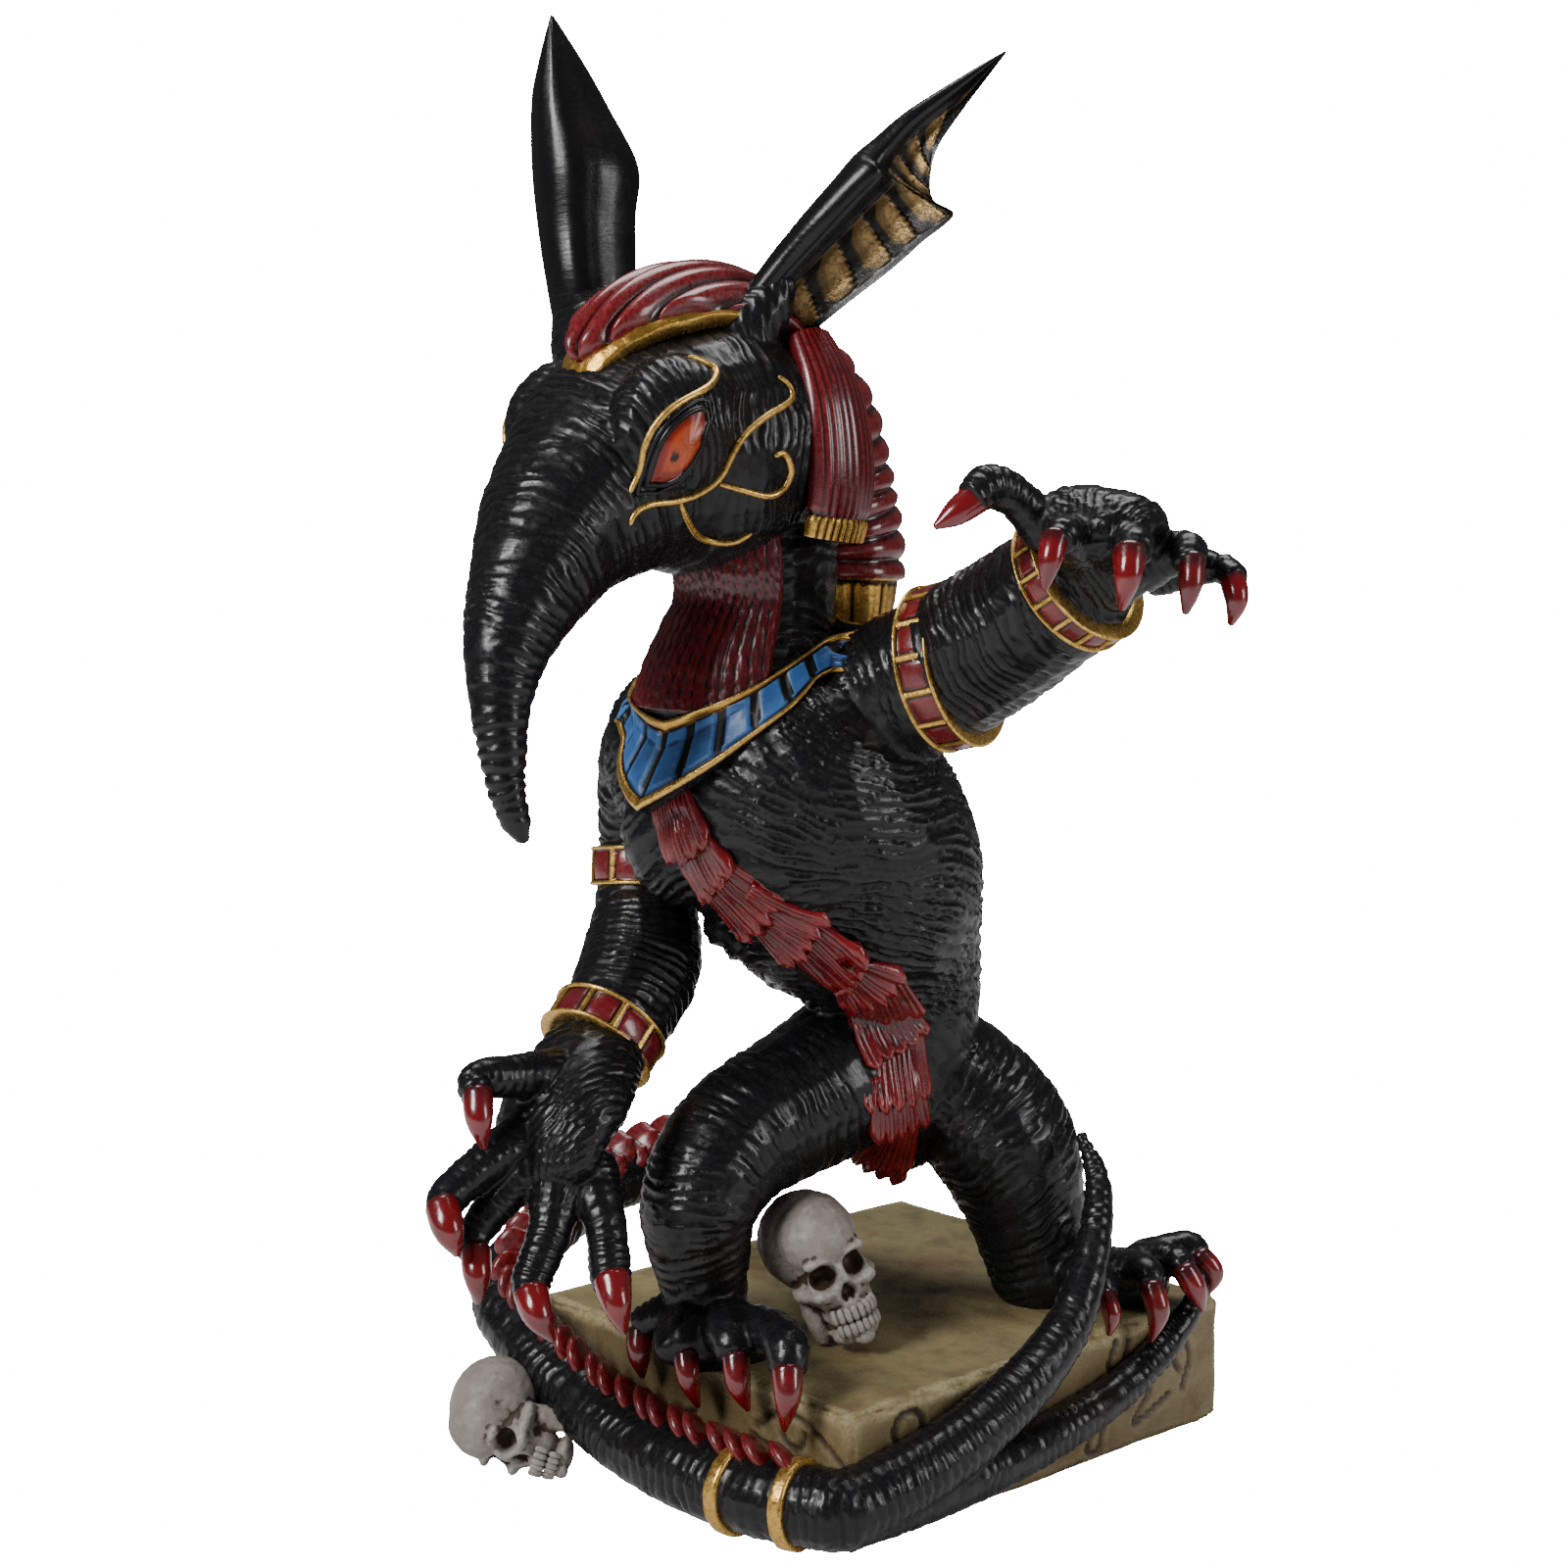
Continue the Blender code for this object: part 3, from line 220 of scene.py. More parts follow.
def hand_paint():
    """Brushed paint: a wash left in hollows that is partly painted shade, a dry brush over ridges that
    is partly a painted highlight, and cloudy patches between.
    """
    group, given, put_out = new_group(
        "hand_paint",
        [
            ("Coat", "NodeSocketColor", (0.5, 0.5, 0.5, 1)),
            ("Wash", "NodeSocketColor", (0.1, 0.1, 0.1, 1)),
            ("Dry Brush", "NodeSocketColor", (0.8, 0.8, 0.8, 1)),
            ("Wash Share", "NodeSocketFloat", 0.8),
            ("Brush Share", "NodeSocketFloat", 0.5),
            ("Patches", "NodeSocketFloat", 0.3),
        ],
        [("Colour", "NodeSocketColor"), ("Unevenness", "NodeSocketFloat")],
    )
    ridge = attribute(group, "ridge")
    clouds = noise(group, 170.0, 5.0, 0.6)
    grain = noise(group, 1300.0, 3.0, 0.6)
    patch = maths(group, "MULTIPLY", span(group, clouds, 0.42, 0.68), given.outputs["Patches"])
    worn = mixed(group, patch, given.outputs["Coat"], given.outputs["Wash"])
    # The wash in the hollows: partly a real wash, partly painted shade where folds and recesses would
    # be shaded.
    hollow = maths(
        group, "MULTIPLY", span(group, ridge, 0.47, 0.25), given.outputs["Wash Share"]
    )
    washed_and_shaded = mixed(group, hollow, worn, given.outputs["Wash"])
    # The dry brush on the ridges: partly real dry brushing, partly a painted highlight on the raised
    # edges.
    high, rough = span(group, ridge, 0.55, 0.95), span(group, grain, 0.3, 0.62)
    touched_and_highlit = maths(group, "MULTIPLY", high, rough)
    brushed_and_highlit = maths(group, "MULTIPLY", touched_and_highlit, given.outputs["Brush Share"])
    group.links.new(
        mixed(group, brushed_and_highlit, washed_and_shaded, given.outputs["Dry Brush"]), put_out.inputs["Colour"]
    )
    coarse, fine = maths(group, "MULTIPLY", clouds, 0.6), maths(group, "MULTIPLY", grain, 0.4)
    both = maths(group, "ADD", coarse, fine)
    group.links.new(both, put_out.inputs["Unevenness"])
    return group


HAND_PAINT = hand_paint()


def painted(
    name, coat, wash_and_shade, brush_and_highlight, shares, rough, bump=0.25, metallic=0.0, coat_weight=0.0, gloss=0.5
):
    """A painted finish: shares are wash, dry brush and patches, and rough its lowest and highest. The
    wash is partly painted shade in hollows, the dry brush partly a painted highlight on ridges.
    """
    made = bpy.data.materials.new(name)
    made.use_nodes = True
    tree = made.node_tree
    shader = tree.nodes["Principled BSDF"]
    paint = node(tree, "ShaderNodeGroup", node_tree=HAND_PAINT)
    for label, value in (("Coat", coat), ("Wash", wash_and_shade), ("Dry Brush", brush_and_highlight)):
        paint.inputs[label].default_value = (*value, 1.0)
    for label, value in zip(("Wash Share", "Brush Share", "Patches"), shares):
        paint.inputs[label].default_value = value
    tree.links.new(paint.outputs["Colour"], shader.inputs["Base Color"])
    roughness = span(tree, paint.outputs["Unevenness"], 0.35, 0.65, rough[0], rough[1])
    tree.links.new(roughness, shader.inputs["Roughness"])
    relief = node(tree, "ShaderNodeBump", {"Strength": bump, "Distance": 0.0003})
    tree.links.new(noise(tree, 1500.0, 4.0, 0.6), relief.inputs["Height"])
    tree.links.new(relief.outputs["Normal"], shader.inputs["Normal"])
    shader.inputs["Metallic"].default_value = metallic
    shader.inputs["Specular IOR Level"].default_value = gloss
    shader.inputs["Coat Weight"].default_value = coat_weight
    shader.inputs["Coat Roughness"].default_value = 0.12
    return made


def stone_finish():
    """Olive-tan paint with green and brown stains, painted shade on the sides below the lit top, and
    dark paint in the carving.
    """
    made = painted(
        "weathered_stone",
        coat=(0.235, 0.190, 0.086),
        wash_and_shade=(0.085, 0.054, 0.022),
        brush_and_highlight=(0.42, 0.36, 0.20),
        shares=(0.9, 0.6, 0.55),
        rough=(0.42, 0.7),
        bump=0.5,
    )
    tree = made.node_tree
    shader = tree.nodes["Principled BSDF"]
    base = shader.inputs["Base Color"].links[0].from_socket
    moss = span(tree, noise(tree, 90.0, 7.0, 0.7), 0.50, 0.72, 0.0, 0.55)
    green = mixed(tree, moss, base, (0.120, 0.128, 0.048))
    streak = noise(tree, 55.0, 7.0, 0.7, (1.0, 1.0, 2.6))
    rust = mixed(tree, span(tree, streak, 0.50, 0.70, 0.0, 0.65), green, (0.175, 0.090, 0.034))
    # The sides are painted darker than the top: painted shade where less light falls.
    side = attribute(tree, "side")
    shaded = mixed(tree, maths(tree, "MULTIPLY", side, 0.6), rust, (0.125, 0.078, 0.030))
    carved = mixed(tree, attribute(tree, "carved"), shaded, (0.022, 0.017, 0.010))
    tree.links.new(carved, shader.inputs["Base Color"])
    return made


def arc(centre, radius, start, end, steps):
    """Points (along, up) on an arc, in degrees."""
    angles = np.radians(np.linspace(start, end, steps + 1))
    return [(centre[0] + radius * math.cos(a), centre[1] + radius * math.sin(a)) for a in angles]


# Each stroke runs through points (along, up) in slab heights, from a share of the side's length.
FRONT_STROKES = [
    (0.33, [(0.52, 0.62), (0.20, 0.80), (-0.10, 0.84), (-0.40, 0.66)]),
    (0.33, [(0.46, 0.55), (0.10, 0.50), (-0.20, 0.54), (-0.44, 0.58)]),
    (0.33, [(-0.12, 0.76), (-0.08, 0.63), (0.06, 0.62), (0.12, 0.74)]),
    (0.03, [(-0.06, 0.80), (0.02, 0.70), (-0.03, 0.56), (-0.12, 0.52)]),
]
RIGHT_STROKES = [
    (-0.36, arc((0.0, 0.78), 0.13, -60, 240, 10)),
    (-0.05, [(0.0, 0.82), (0.06, 0.62), (0.02, 0.44)]),
    (-0.05, [(-0.16, 0.66), (-0.12, 0.44)]),
    (0.13, [(0.02, 0.30), (-0.06, 0.12), (0.06, 0.10), (0.10, 0.32)]),
    (0.20, [(-0.05, 0.90), (-0.12, 0.72), (0.0, 0.66), (0.10, 0.86)]),
    (0.26, [(0.0, 0.50), (0.13, 0.42), (-0.06, 0.20), (0.18, 0.26), (0.34, 0.34)]),
    (0.38, [(0.02, 0.36), (0.10, 0.60), (0.02, 0.78)]),
    (0.38, [(-0.10, 0.62), (-0.02, 0.50)]),
]


def curve_through(stations, steps):
    """Catmull-Rom samples through stations of equal length, steps to each span."""
    known = np.asarray(stations, float)
    padded = np.vstack([known[:1], known, known[-1:]])
    t = np.arange(steps)[:, None] / steps
    spans = []
    for a, b, c, d in zip(padded, padded[1:], padded[2:], padded[3:]):
        spans.append(
            0.5
            * (
                2 * b
                + (c - a) * t
                + (2 * a - 5 * b + 4 * c - d) * t**2
                + (3 * b - a - 3 * c + d) * t**3
            )
        )
    return np.vstack([*spans, known[-1:]])


def carving(flat, strokes, length):
    """How deep in a stroke each point (along, up) of a side lies, from 0 to 1."""
    deepest = np.zeros(len(flat))
    for middle, stroke in strokes:
        line = curve_through(stroke, 8) * SLAB_TOP + (middle * length, 0)
        gap = np.sqrt(((flat[:, None] - line[None]) ** 2).sum(2)).min(1)
        deepest = np.maximum(deepest, 1 - smoothstep(gap, STROKE_WIDTH * 0.35, STROKE_WIDTH * 1.25))
    return deepest


def slab():
    """A fine box with round, chipped edges, a bumpy top, and the carving pressed in."""
    shape = bmesh.new()
    bmesh.ops.create_cube(shape, size=1.0)
    sides = (SIDE_X * 2, SIDE_Y * 2, SLAB_TOP)
    for axis, length in enumerate(sides):
        cuts = max(1, round(length / SLAB_CELL))
        along = [e for e in shape.edges if abs((e.verts[0].co - e.verts[1].co)[axis]) > 0.5]
        bmesh.ops.subdivide_edges(shape, edges=along, cuts=cuts - 1, use_grid_fill=True)
    mesh = bpy.data.meshes.new("slab")
    shape.to_mesh(mesh)
    shape.free()
    unit = places_of(mesh)
    points = unit * sides + (0, 0, SLAB_TOP / 2)
    high = np.array([SIDE_X, SIDE_Y, SLAB_TOP])
    low = np.array([-SIDE_X, -SIDE_Y, 0.0])
    inner = np.clip(points, low + SLAB_EDGE, high - SLAB_EDGE)
    out = points - inner
    reach = np.linalg.norm(out, axis=1)
    outward = out / np.maximum(reach, 1e-9)[:, None]
    chips = 1 + 0.5 * uneven(points, 7 * MM, 3) + 0.25 * uneven(points, 2.4 * MM, 4)
    edge = np.count_nonzero(np.abs(out) > SLAB_EDGE * 0.3, axis=1) > 1
    rounded = inner + outward * SLAB_EDGE
    points = rounded - outward * (edge * EDGE_WEAR * SLAB_EDGE * np.clip(chips, 0, 1.6))[:, None]
    swell = 0.25 * uneven(points, 18 * MM, 5) + 0.06 * uneven(points, 5 * MM, 6) - 0.2
    points += outward * (swell * MM)[:, None]
    carved = np.zeros(len(points))
    front = unit[:, 1] < -0.499
    carved[front] = carving(points[front][:, (0, 2)], FRONT_STROKES, 2 * SIDE_X)
    right = unit[:, 0] > 0.499
    carved[right] = carving(points[right][:, (1, 2)], RIGHT_STROKES, 2 * SIDE_Y)
    points -= outward * (carved * STROKE_DEPTH)[:, None]
    points[:, 2] = np.maximum(points[:, 2], 0)
    move_to(mesh, points)
    mesh.shade_smooth()
    mark_ridges(mesh, 0.07 * MM, 2)
    store(mesh, "carved", carved)
    # How far below the top each point lies, for the painted shade on the sides.
    store(mesh, "side", smoothstep(SLAB_TOP - points[:, 2], 0.5 * MM, 4 * MM))
    made = in_scene("slab", mesh)
    mesh.materials.append(stone_finish())
    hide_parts("plinth")
    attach(made, "root")


slab()


# Skin
# The animal's body, cast in resin as one with its limbs and tail, and painted near black over
# modelled wrinkles. It is made here in five pieces that meet under the collar, the armlets and
# the tail's root. Each limb is a line of stations (x, y, z, half width, half depth).

POSE_TURN = math.radians(48.3)
FRONT = np.array([-0.72, -0.69, 0.0])
LEFT = np.array([0.69, -0.72, 0.0])
AWAY = np.array([0.0, 1.0, 0.0])
UP = np.array([0.0, 0.0, 1.0])
HEAD_CENTRE = np.array([-31.0, -16.0, 154.0])


def turned(vectors):
    """Directions of the pose frame in world axes."""
    v = np.asarray(vectors, float)
    c, s = math.cos(POSE_TURN), math.sin(POSE_TURN)
    return np.stack([v[..., 0] * c - v[..., 1] * s, v[..., 0] * s + v[..., 1] * c, v[..., 2]], -1)


def at(points):
    """Places of the pose frame, in its millimetres over the slab's top, in world metres."""
    return turned(np.asarray(points, float) * MM) + (0, 0, SLAB_TOP)


def head_at(points):
    """Places (forward, left, up) from the middle of the head, in world metres."""
    p = np.asarray(points, float)
    return at(HEAD_CENTRE + p[..., :1] * FRONT + p[..., 1:2] * LEFT + p[..., 2:3] * UP)


def unit_rows(vectors):
    """Each row at length one."""
    return vectors / np.maximum(np.linalg.norm(vectors, axis=-1, keepdims=True), 1e-12)


def tangents_of(centres):
    """The unit tangent at each point of a line."""
    return unit_rows(np.gradient(centres, axis=0))


def world_limb(stations, steps=5):
    """Smooth samples of a limb: centres in world metres, then half width and half depth."""
    even = [s if len(s) == 5 else (*s, s[3]) for s in stations]
    samples = curve_through(even, steps)
    return at(samples[:, :3]), samples[:, 3] * MM, samples[:, 4] * MM


def walked_along(centres):
    """The way from the start of a line to each of its points."""
    return np.concatenate([[0], np.cumsum(np.linalg.norm(np.diff(centres, axis=0), axis=1))])


def loft_faces(rows, size, loop=False):
    """Faces between rings of equal size, with the end rings closed unless the rings form a loop."""
    index = np.arange(rows * size).reshape(rows, size)
    here = index if loop else index[:-1]
    ahead = np.roll(index, -1, 0) if loop else index[1:]
    quads = np.stack([here, np.roll(here, -1, 1), np.roll(ahead, -1, 1), ahead], -1)
    ends = [] if loop else [index[0].tolist(), index[-1].tolist()]
    return quads.reshape(-1, 4).tolist() + ends


def sweep(centres, wide, deep, side, sides=20, blunt=0.55):
    """Points and faces of a closed limb with round ends, wide along side and deep across it."""
    tangents = tangents_of(centres)
    x_axis = unit_rows(side - tangents * (tangents @ side)[:, None])
    y_axis = np.cross(tangents, x_axis)
    rows = [(0, -blunt * k, math.sqrt(1 - k * k)) for k in (0.95, 0.75, 0.4)]
    rows += [(i, 0.0, 1.0) for i in range(len(centres))]
    last = len(centres) - 1
    rows += [(last, blunt * k, math.sqrt(1 - k * k)) for k in (0.4, 0.75, 0.95)]
    angles = np.arange(sides) * 2 * math.pi / sides
    rings = []
    for i, along, scale in rows:
        middle = centres[i] + tangents[i] * along * min(wide[i], deep[i])
        ring = middle + x_axis[i] * (np.cos(angles) * wide[i] * scale)[:, None]
        rings.append(ring + y_axis[i] * (np.sin(angles) * deep[i] * scale)[:, None])
    return np.vstack(rings), loft_faces(len(rings), sides)


def limb(stations, side=LEFT, sides=20, steps=5):
    """A closed limb through pose stations."""
    centres, wide, deep = world_limb(stations, steps)
    return sweep(centres, wide, deep, turned(side), sides)


def ball(centre, radii, axes, segments=20, rings=14):
    """Points and faces of an ellipsoid with its own axes."""
    rows = np.linspace(0, math.pi, rings + 1)[1:-1]
    angles = np.arange(segments) * 2 * math.pi / segments
    local = [
        (math.sin(r) * math.cos(a), math.sin(r) * math.sin(a), math.cos(r))
        for r in rows
        for a in angles
    ]
    local += [(0, 0, 1), (0, 0, -1)]
    points = np.asarray(centre) + (np.array(local) * radii) @ np.asarray(axes)
    # The two end rings stay open, because each closes to its pole.
    faces = loft_faces(len(rows), segments)[:-2]
    top, bottom = len(local) - 2, len(local) - 1
    end = (len(rows) - 1) * segments
    for i in range(segments):
        j = (i + 1) % segments
        faces.append((top, j, i))
        faces.append((bottom, end + i, end + j))
    return points, faces


def together(shapes):
    """Several (points, faces) as one."""
    points, faces, count = [], [], 0
    for some, theirs in shapes:
        points.append(np.asarray(some, float))
        faces += [tuple(i + count for i in face) for face in theirs]
        count += len(some)
    return np.vstack(points), faces


def mesh_piece(name, points, faces):
    """A smooth mesh object with its faces turned outwards."""
    mesh = bpy.data.meshes.new(name)
    mesh.from_pydata(np.asarray(points, float).tolist(), [], [tuple(map(int, f)) for f in faces])
    shape = bmesh.new()
    shape.from_mesh(mesh)
    bmesh.ops.recalc_face_normals(shape, faces=shape.faces)
    shape.to_mesh(mesh)
    shape.free()
    mesh.shade_smooth()
    return in_scene(name, mesh)


def melted(name, shapes, cell, rounds):
    """Closed shapes melted into one skin of small even faces, with their meetings smoothed."""
    rough = mesh_piece(name + "_rough", *together(shapes))
    melt = rough.modifiers.new("melt", "REMESH")
    melt.mode = "VOXEL"
    melt.voxel_size = cell
    graph = bpy.context.evaluated_depsgraph_get()
    mesh = bpy.data.meshes.new_from_object(rough.evaluated_get(graph))
    bpy.data.objects.remove(rough)
    mesh.name = name
    points, edges = places_of(mesh), edges_of(mesh)
    for i in range(2 * rounds):
        # A step in and a smaller step out again, so that thin claws and fingers don't shrink.
        pull = 0.5 if i % 2 == 0 else -0.47
        points += (neighbour_mean(points, edges, len(points)) - points) * pull
    move_to(mesh, points)
    return mesh


def folds(stations, pitch, depth, slant=0.0):
    """The folds across a limb of the pose: their pitch and depth in mm, and their slant."""
    return world_limb(stations, 6), pitch, depth, slant


# The folds wander and fade in patches, and every few of them ride on a broader one.
FOLD_SHARPNESS = 0.75
FOLD_MEAN = 0.75
BROAD_PACE = 0.37
BROAD_MEAN = 0.64
BROAD_SHARE = 0.38
# How soon the folds of one limb give way to those of the next one.
FOLD_CHANGE = 7


def wrinkled(mesh, limbs):
    """Folds the skin across its limbs, each with its own folds where it lies nearest."""
    points, normals = places_of(mesh), normals_of(mesh)
    nearest = np.full(len(points), np.inf)
    lifts, weights, alongs = [], [], []
    for (centres, wide, deep), pitch, depth, slant in limbs:
        tangents = tangents_of(centres)
        walked = walked_along(centres)
        girth = np.maximum((wide + deep) / 2, 0.5 * MM)
        share, along, around = [], [], []
        for chunk in np.array_split(points, max(1, len(points) // 20000)):
            gap = chunk[:, None] - centres[None]
            far = np.sqrt((gap**2).sum(2)) / girth
            k = far.argmin(1)
            rows = np.arange(len(chunk))
            offset = gap[rows, k]
            step = (offset * tangents[k]).sum(1)
            across = unit_rows(offset - tangents[k] * step[:, None])
            share.append(far[rows, k])
            along.append(walked[k] + step)
            around.append(np.arccos(np.clip(across @ turned(FRONT), -1, 1)) * girth[k])
        share, along, around = map(np.concatenate, (share, along, around))
        nearest = np.minimum(nearest, share)
        phase = (along + slant * around) / (pitch * MM)
        phase += 0.45 * uneven(points, 13 * MM, 21) + 0.16 * uneven(points, 4.5 * MM, 22)
        fold = np.abs(np.sin(phase * math.pi)) ** FOLD_SHARPNESS
        strong = 0.62 + 0.55 * uneven(points, 15 * MM, 25) + 0.38 * uneven(points, 5 * MM, 23)
        strong = np.clip(strong, 0.05, 1.25)
        broad = np.abs(np.sin(phase * BROAD_PACE * math.pi)) - BROAD_MEAN
        lifts.append(((fold - FOLD_MEAN) * strong + BROAD_SHARE * broad) * depth * MM)
        weights.append(share)
        alongs.append(along)
    weights = np.exp(-FOLD_CHANGE * (np.array(weights) - nearest))
    lift = (np.array(lifts) * weights).sum(0) / weights.sum(0)
    lift += 0.05 * MM * uneven(points, 2.2 * MM, 24)
    move_to(mesh, points + normals * lift[:, None])
    store(mesh, "along", np.array(alongs)[weights.argmax(0), np.arange(len(points))])


def thinned(made, most):
    """Fewer faces where a piece has more triangles than the limit."""
    count = sum(len(p.vertices) - 2 for p in made.data.polygons)
    if count <= most:
        return
    thin = made.modifiers.new("thin", "DECIMATE")
    thin.ratio = most / count
    graph = bpy.context.evaluated_depsgraph_get()
    mesh = bpy.data.meshes.new_from_object(made.evaluated_get(graph))
    made.modifiers.remove(thin)
    made.data = mesh


def skin_finish():
    """Near-black satin paint, with a cool dry brush on the wrinkles that is partly a painted
    highlight, a wash in the folds that is partly painted shade, brown patches and fine hairs.
    """
    made = painted(
        "black_skin",
        coat=(0.0045, 0.0045, 0.0052),
        wash_and_shade=(0.0018, 0.0018, 0.0020),
        brush_and_highlight=(0.014, 0.014, 0.017),
        shares=(0.9, 0.5, 0.5),
        rough=(-0.04, 0.07),
        bump=0.22,
        gloss=0.33,
    )
    tree = made.node_tree
    shader = tree.nodes["Principled BSDF"]
    rubbed = span(tree, attribute(tree, "ridge"), 0.30, 0.66, 0.40, 0.25)
    patchy = shader.inputs["Roughness"].links[0].from_socket
    tree.links.new(maths(tree, "ADD", rubbed, patchy), shader.inputs["Roughness"])
    base = shader.inputs["Base Color"].links[0].from_socket
    brown = span(tree, noise(tree, 38.0, 3.0, 0.6), 0.56, 0.72, 0.0, 0.5)
    tree.links.new(mixed(tree, brown, base, (0.013, 0.0075, 0.0055)), shader.inputs["Base Color"])
    hairs = node(tree, "ShaderNodeTexNoise", {"Scale": 1.0, "Detail": 3.0}, noise_dimensions="4D")
    coords = node(tree, "ShaderNodeTexCoord").outputs["Object"]
    spread = node(tree, "ShaderNodeMapping", {"Scale": (260.0, 260.0, 260.0)})
    tree.links.new(coords, spread.inputs["Vector"])
    tree.links.new(spread.outputs["Vector"], hairs.inputs["Vector"])
    tree.links.new(maths(tree, "MULTIPLY", attribute(tree, "along"), 1500.0), hairs.inputs["W"])
    relief = shader.inputs["Normal"].links[0].from_node
    grain = relief.inputs["Height"].links[0].from_socket
    height = maths(tree, "ADD", maths(tree, "MULTIPLY", grain, 0.35), hairs.outputs["Fac"])
    tree.links.new(height, relief.inputs["Height"])
    return made


SKIN = skin_finish()


def set_on_figure(made, *finishes, reach=0.10, rounds=2):
    """Finishes a piece of the figure, with a wash in its hollows that is partly painted shade, and
    lets it ride.
    """
    for finish in finishes:
        made.data.materials.append(finish)
    if "ridge" not in made.data.attributes:
        mark_ridges(made.data, reach * MM, rounds)
    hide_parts("seth_figure")
    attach(made, "root")


def skin_piece(name, shapes, cell, rounds, limbs, most):
    """One piece of the wrinkled black skin, of at most that many triangles."""
    mesh = melted(name, shapes, cell * MM, rounds)
    wrinkled(mesh, limbs)
    made = in_scene(name, mesh)
    thinned(made, most)
    made.data.shade_smooth()
    made.data.materials.clear()
    set_on_figure(made, SKIN, reach=0.06)
    return made


def surface_of(*made):
    """A tree of the faces of one or more pieces, to lay ornament on."""
    points, faces = together(
        [(places_of(m.data), [tuple(p.vertices) for p in m.data.polygons]) for m in made]
    )
    return BVHTree.FromPolygons(points.tolist(), faces)


TORSO = [
    (2, 3, 27, 9, 8),
    (2, 3, 35, 15, 13),
    (2.5, 2, 46, 15.5, 14),
    (2.2, 1, 58, 16.5, 15.5),
    (-0.5, -1, 66, 20.5, 19),
    (-4.5, -4, 74, 25, 23),
    (-9.5, -7, 84, 27.5, 24.5),
    (-17, -12, 95, 28, 25),
    (-20, -13, 105, 25, 22),
    (-22, -13, 113, 19, 17),
    (-22, -13, 120, 15, 14),
]
NEAR_ARM = [
    (-8, -16, 107, 12),
    (0, -19, 111.5, 13),
    (9, -25, 116.5, 12.9),
    (19, -36, 124.2, 12.2),
    (26, -45, 130.3, 11.4),
    (29, -48, 133, 10.8),
]
FAR_ARM = [
    (-34, -1, 107, 11),
    (-40, 2, 99, 10.8),
    (-42.5, 5, 84, 8.7),
    (-42.5, 2, 73, 9.2),
    (-43, -6, 63, 10.8),
    (-47, -16, 55, 9.8),
    (-49.5, -20, 51.5, 9.2),
]
FAR_LEG = [
    (-1, 1, 45, 14.5),
    (-13, -11, 40, 13.2),
    (-26, -22, 34.5, 11.8),
    (-32, -29, 26, 10.4),
    (-32, -28, 17, 8.8),
    (-31, -27, 9, 7.2),
]
NEAR_LEG = [
    (7, 2, 43, 12.5),
    (15, 2, 37.5, 13),
    (22, 0, 29, 13.4),
    (26, 0, 18.5, 11.6),
    (28, 0, 9.5, 9.8),
    (30, -1, 2, 8.8),
]
FAR_FOOT = [(-31, -26, 5, 7, 7), (-30, -32, 4, 10, 5.5), (-29, -38, 3, 10.5, 4.5)]
NEAR_FOOT = [(30, -1, 4, 8, 6.5), (40, -4, 4.5, 7.5, 5.5), (50, -5, 4.5, 7, 4.5)]
TOES = [
    [(-33, -29, 7, 4.2), (-38.5, -27, 5, 3.6), (-42, -26, 3, 3.1)],
    [(-32.5, -32, 6, 4.2), (-34, -37, 5.5, 3.8), (-34.5, -39, 3.5, 3)],
    [(-28.5, -34, 6, 4.2), (-26.5, -44, 7, 3.9), (-26, -47, 5.5, 3.1)],
    [(-26, -34, 6, 4.2), (-19, -48, 9, 3.9), (-17, -54, 8.5, 3.8), (-17, -56, 6, 3.2)],
    [(34, -5, 4, 4), (37.5, -17, 8.5, 3.7), (38, -21, 7, 3)],
    [(40.5, -8, 7, 3.9), (46, -15, 9, 3.4), (47, -18, 8, 2.7)],
    [(46.5, -6, 7.5, 4), (52, -10, 9.5, 3.1), (53.5, -13, 9, 2.5)],
    [(47.5, -4, 7.5, 3.8), (56, -3, 10, 2.8), (57.5, -5, 8.5, 2.4)],
]
# Two swellings in front of the far arm, and a row of small ones along the lower edge of the ribs.
BREAST = [((-38, -5, 100), (11.5, 10, 16)), ((-34, -13, 88), (12, 10, 14))]
RIB_LUMPS = [(-28.5, -9, 70), (-25, -10, 67.5), (-21.5, -11, 65.3), (-18, -12, 64)]
RIB_LUMPS += [(-14.5, -12, 63.5)]
RIB_RADII = (3.4, 6.5, 3.6)
TAIL_ROOT = [(4, 5, 54, 10), (3, 13, 46, 11), (-2, 21, 35, 9), (-18, 28, 23.5, 7.4)]


def swelling(centre, radii, segments=20, rings=14):
    """A rounded lump at a place of the pose frame."""
    return ball(at(centre), np.array(radii) * MM, turned(np.eye(3)), segments, rings)


body = skin_piece(
    "body_skin",
    [
        limb(TORSO),
        *[swelling(spot, radii) for spot, radii in BREAST],
        *[swelling(spot, RIB_RADII, 14, 10) for spot in RIB_LUMPS],
        limb(NEAR_ARM[:3]),
        limb(FAR_ARM[:3]),
        limb(FAR_LEG),
        limb(NEAR_LEG),
        limb(FAR_FOOT, side=np.array([1, 0.3, 0])),
        limb(NEAR_FOOT, side=AWAY),
        limb(TAIL_ROOT),
        *[limb(toe, sides=14) for toe in TOES],
    ],
    cell=0.58,
    rounds=3,
    limbs=[
        folds(TORSO, 2.2, 1.0, 1.2),
        folds(NEAR_ARM[:3], 2.1, 0.8, 0.3),
        folds(FAR_ARM[:3], 2.1, 0.8, 0.3),
        folds(FAR_LEG, 2.1, 0.75, 0.25),
        folds(NEAR_LEG, 2.1, 0.75, 0.25),
        folds(TAIL_ROOT, 2.1, 0.45),
        *[folds(toe, 1.5, 0.3) for toe in TOES],
    ],
    most=140000,
)

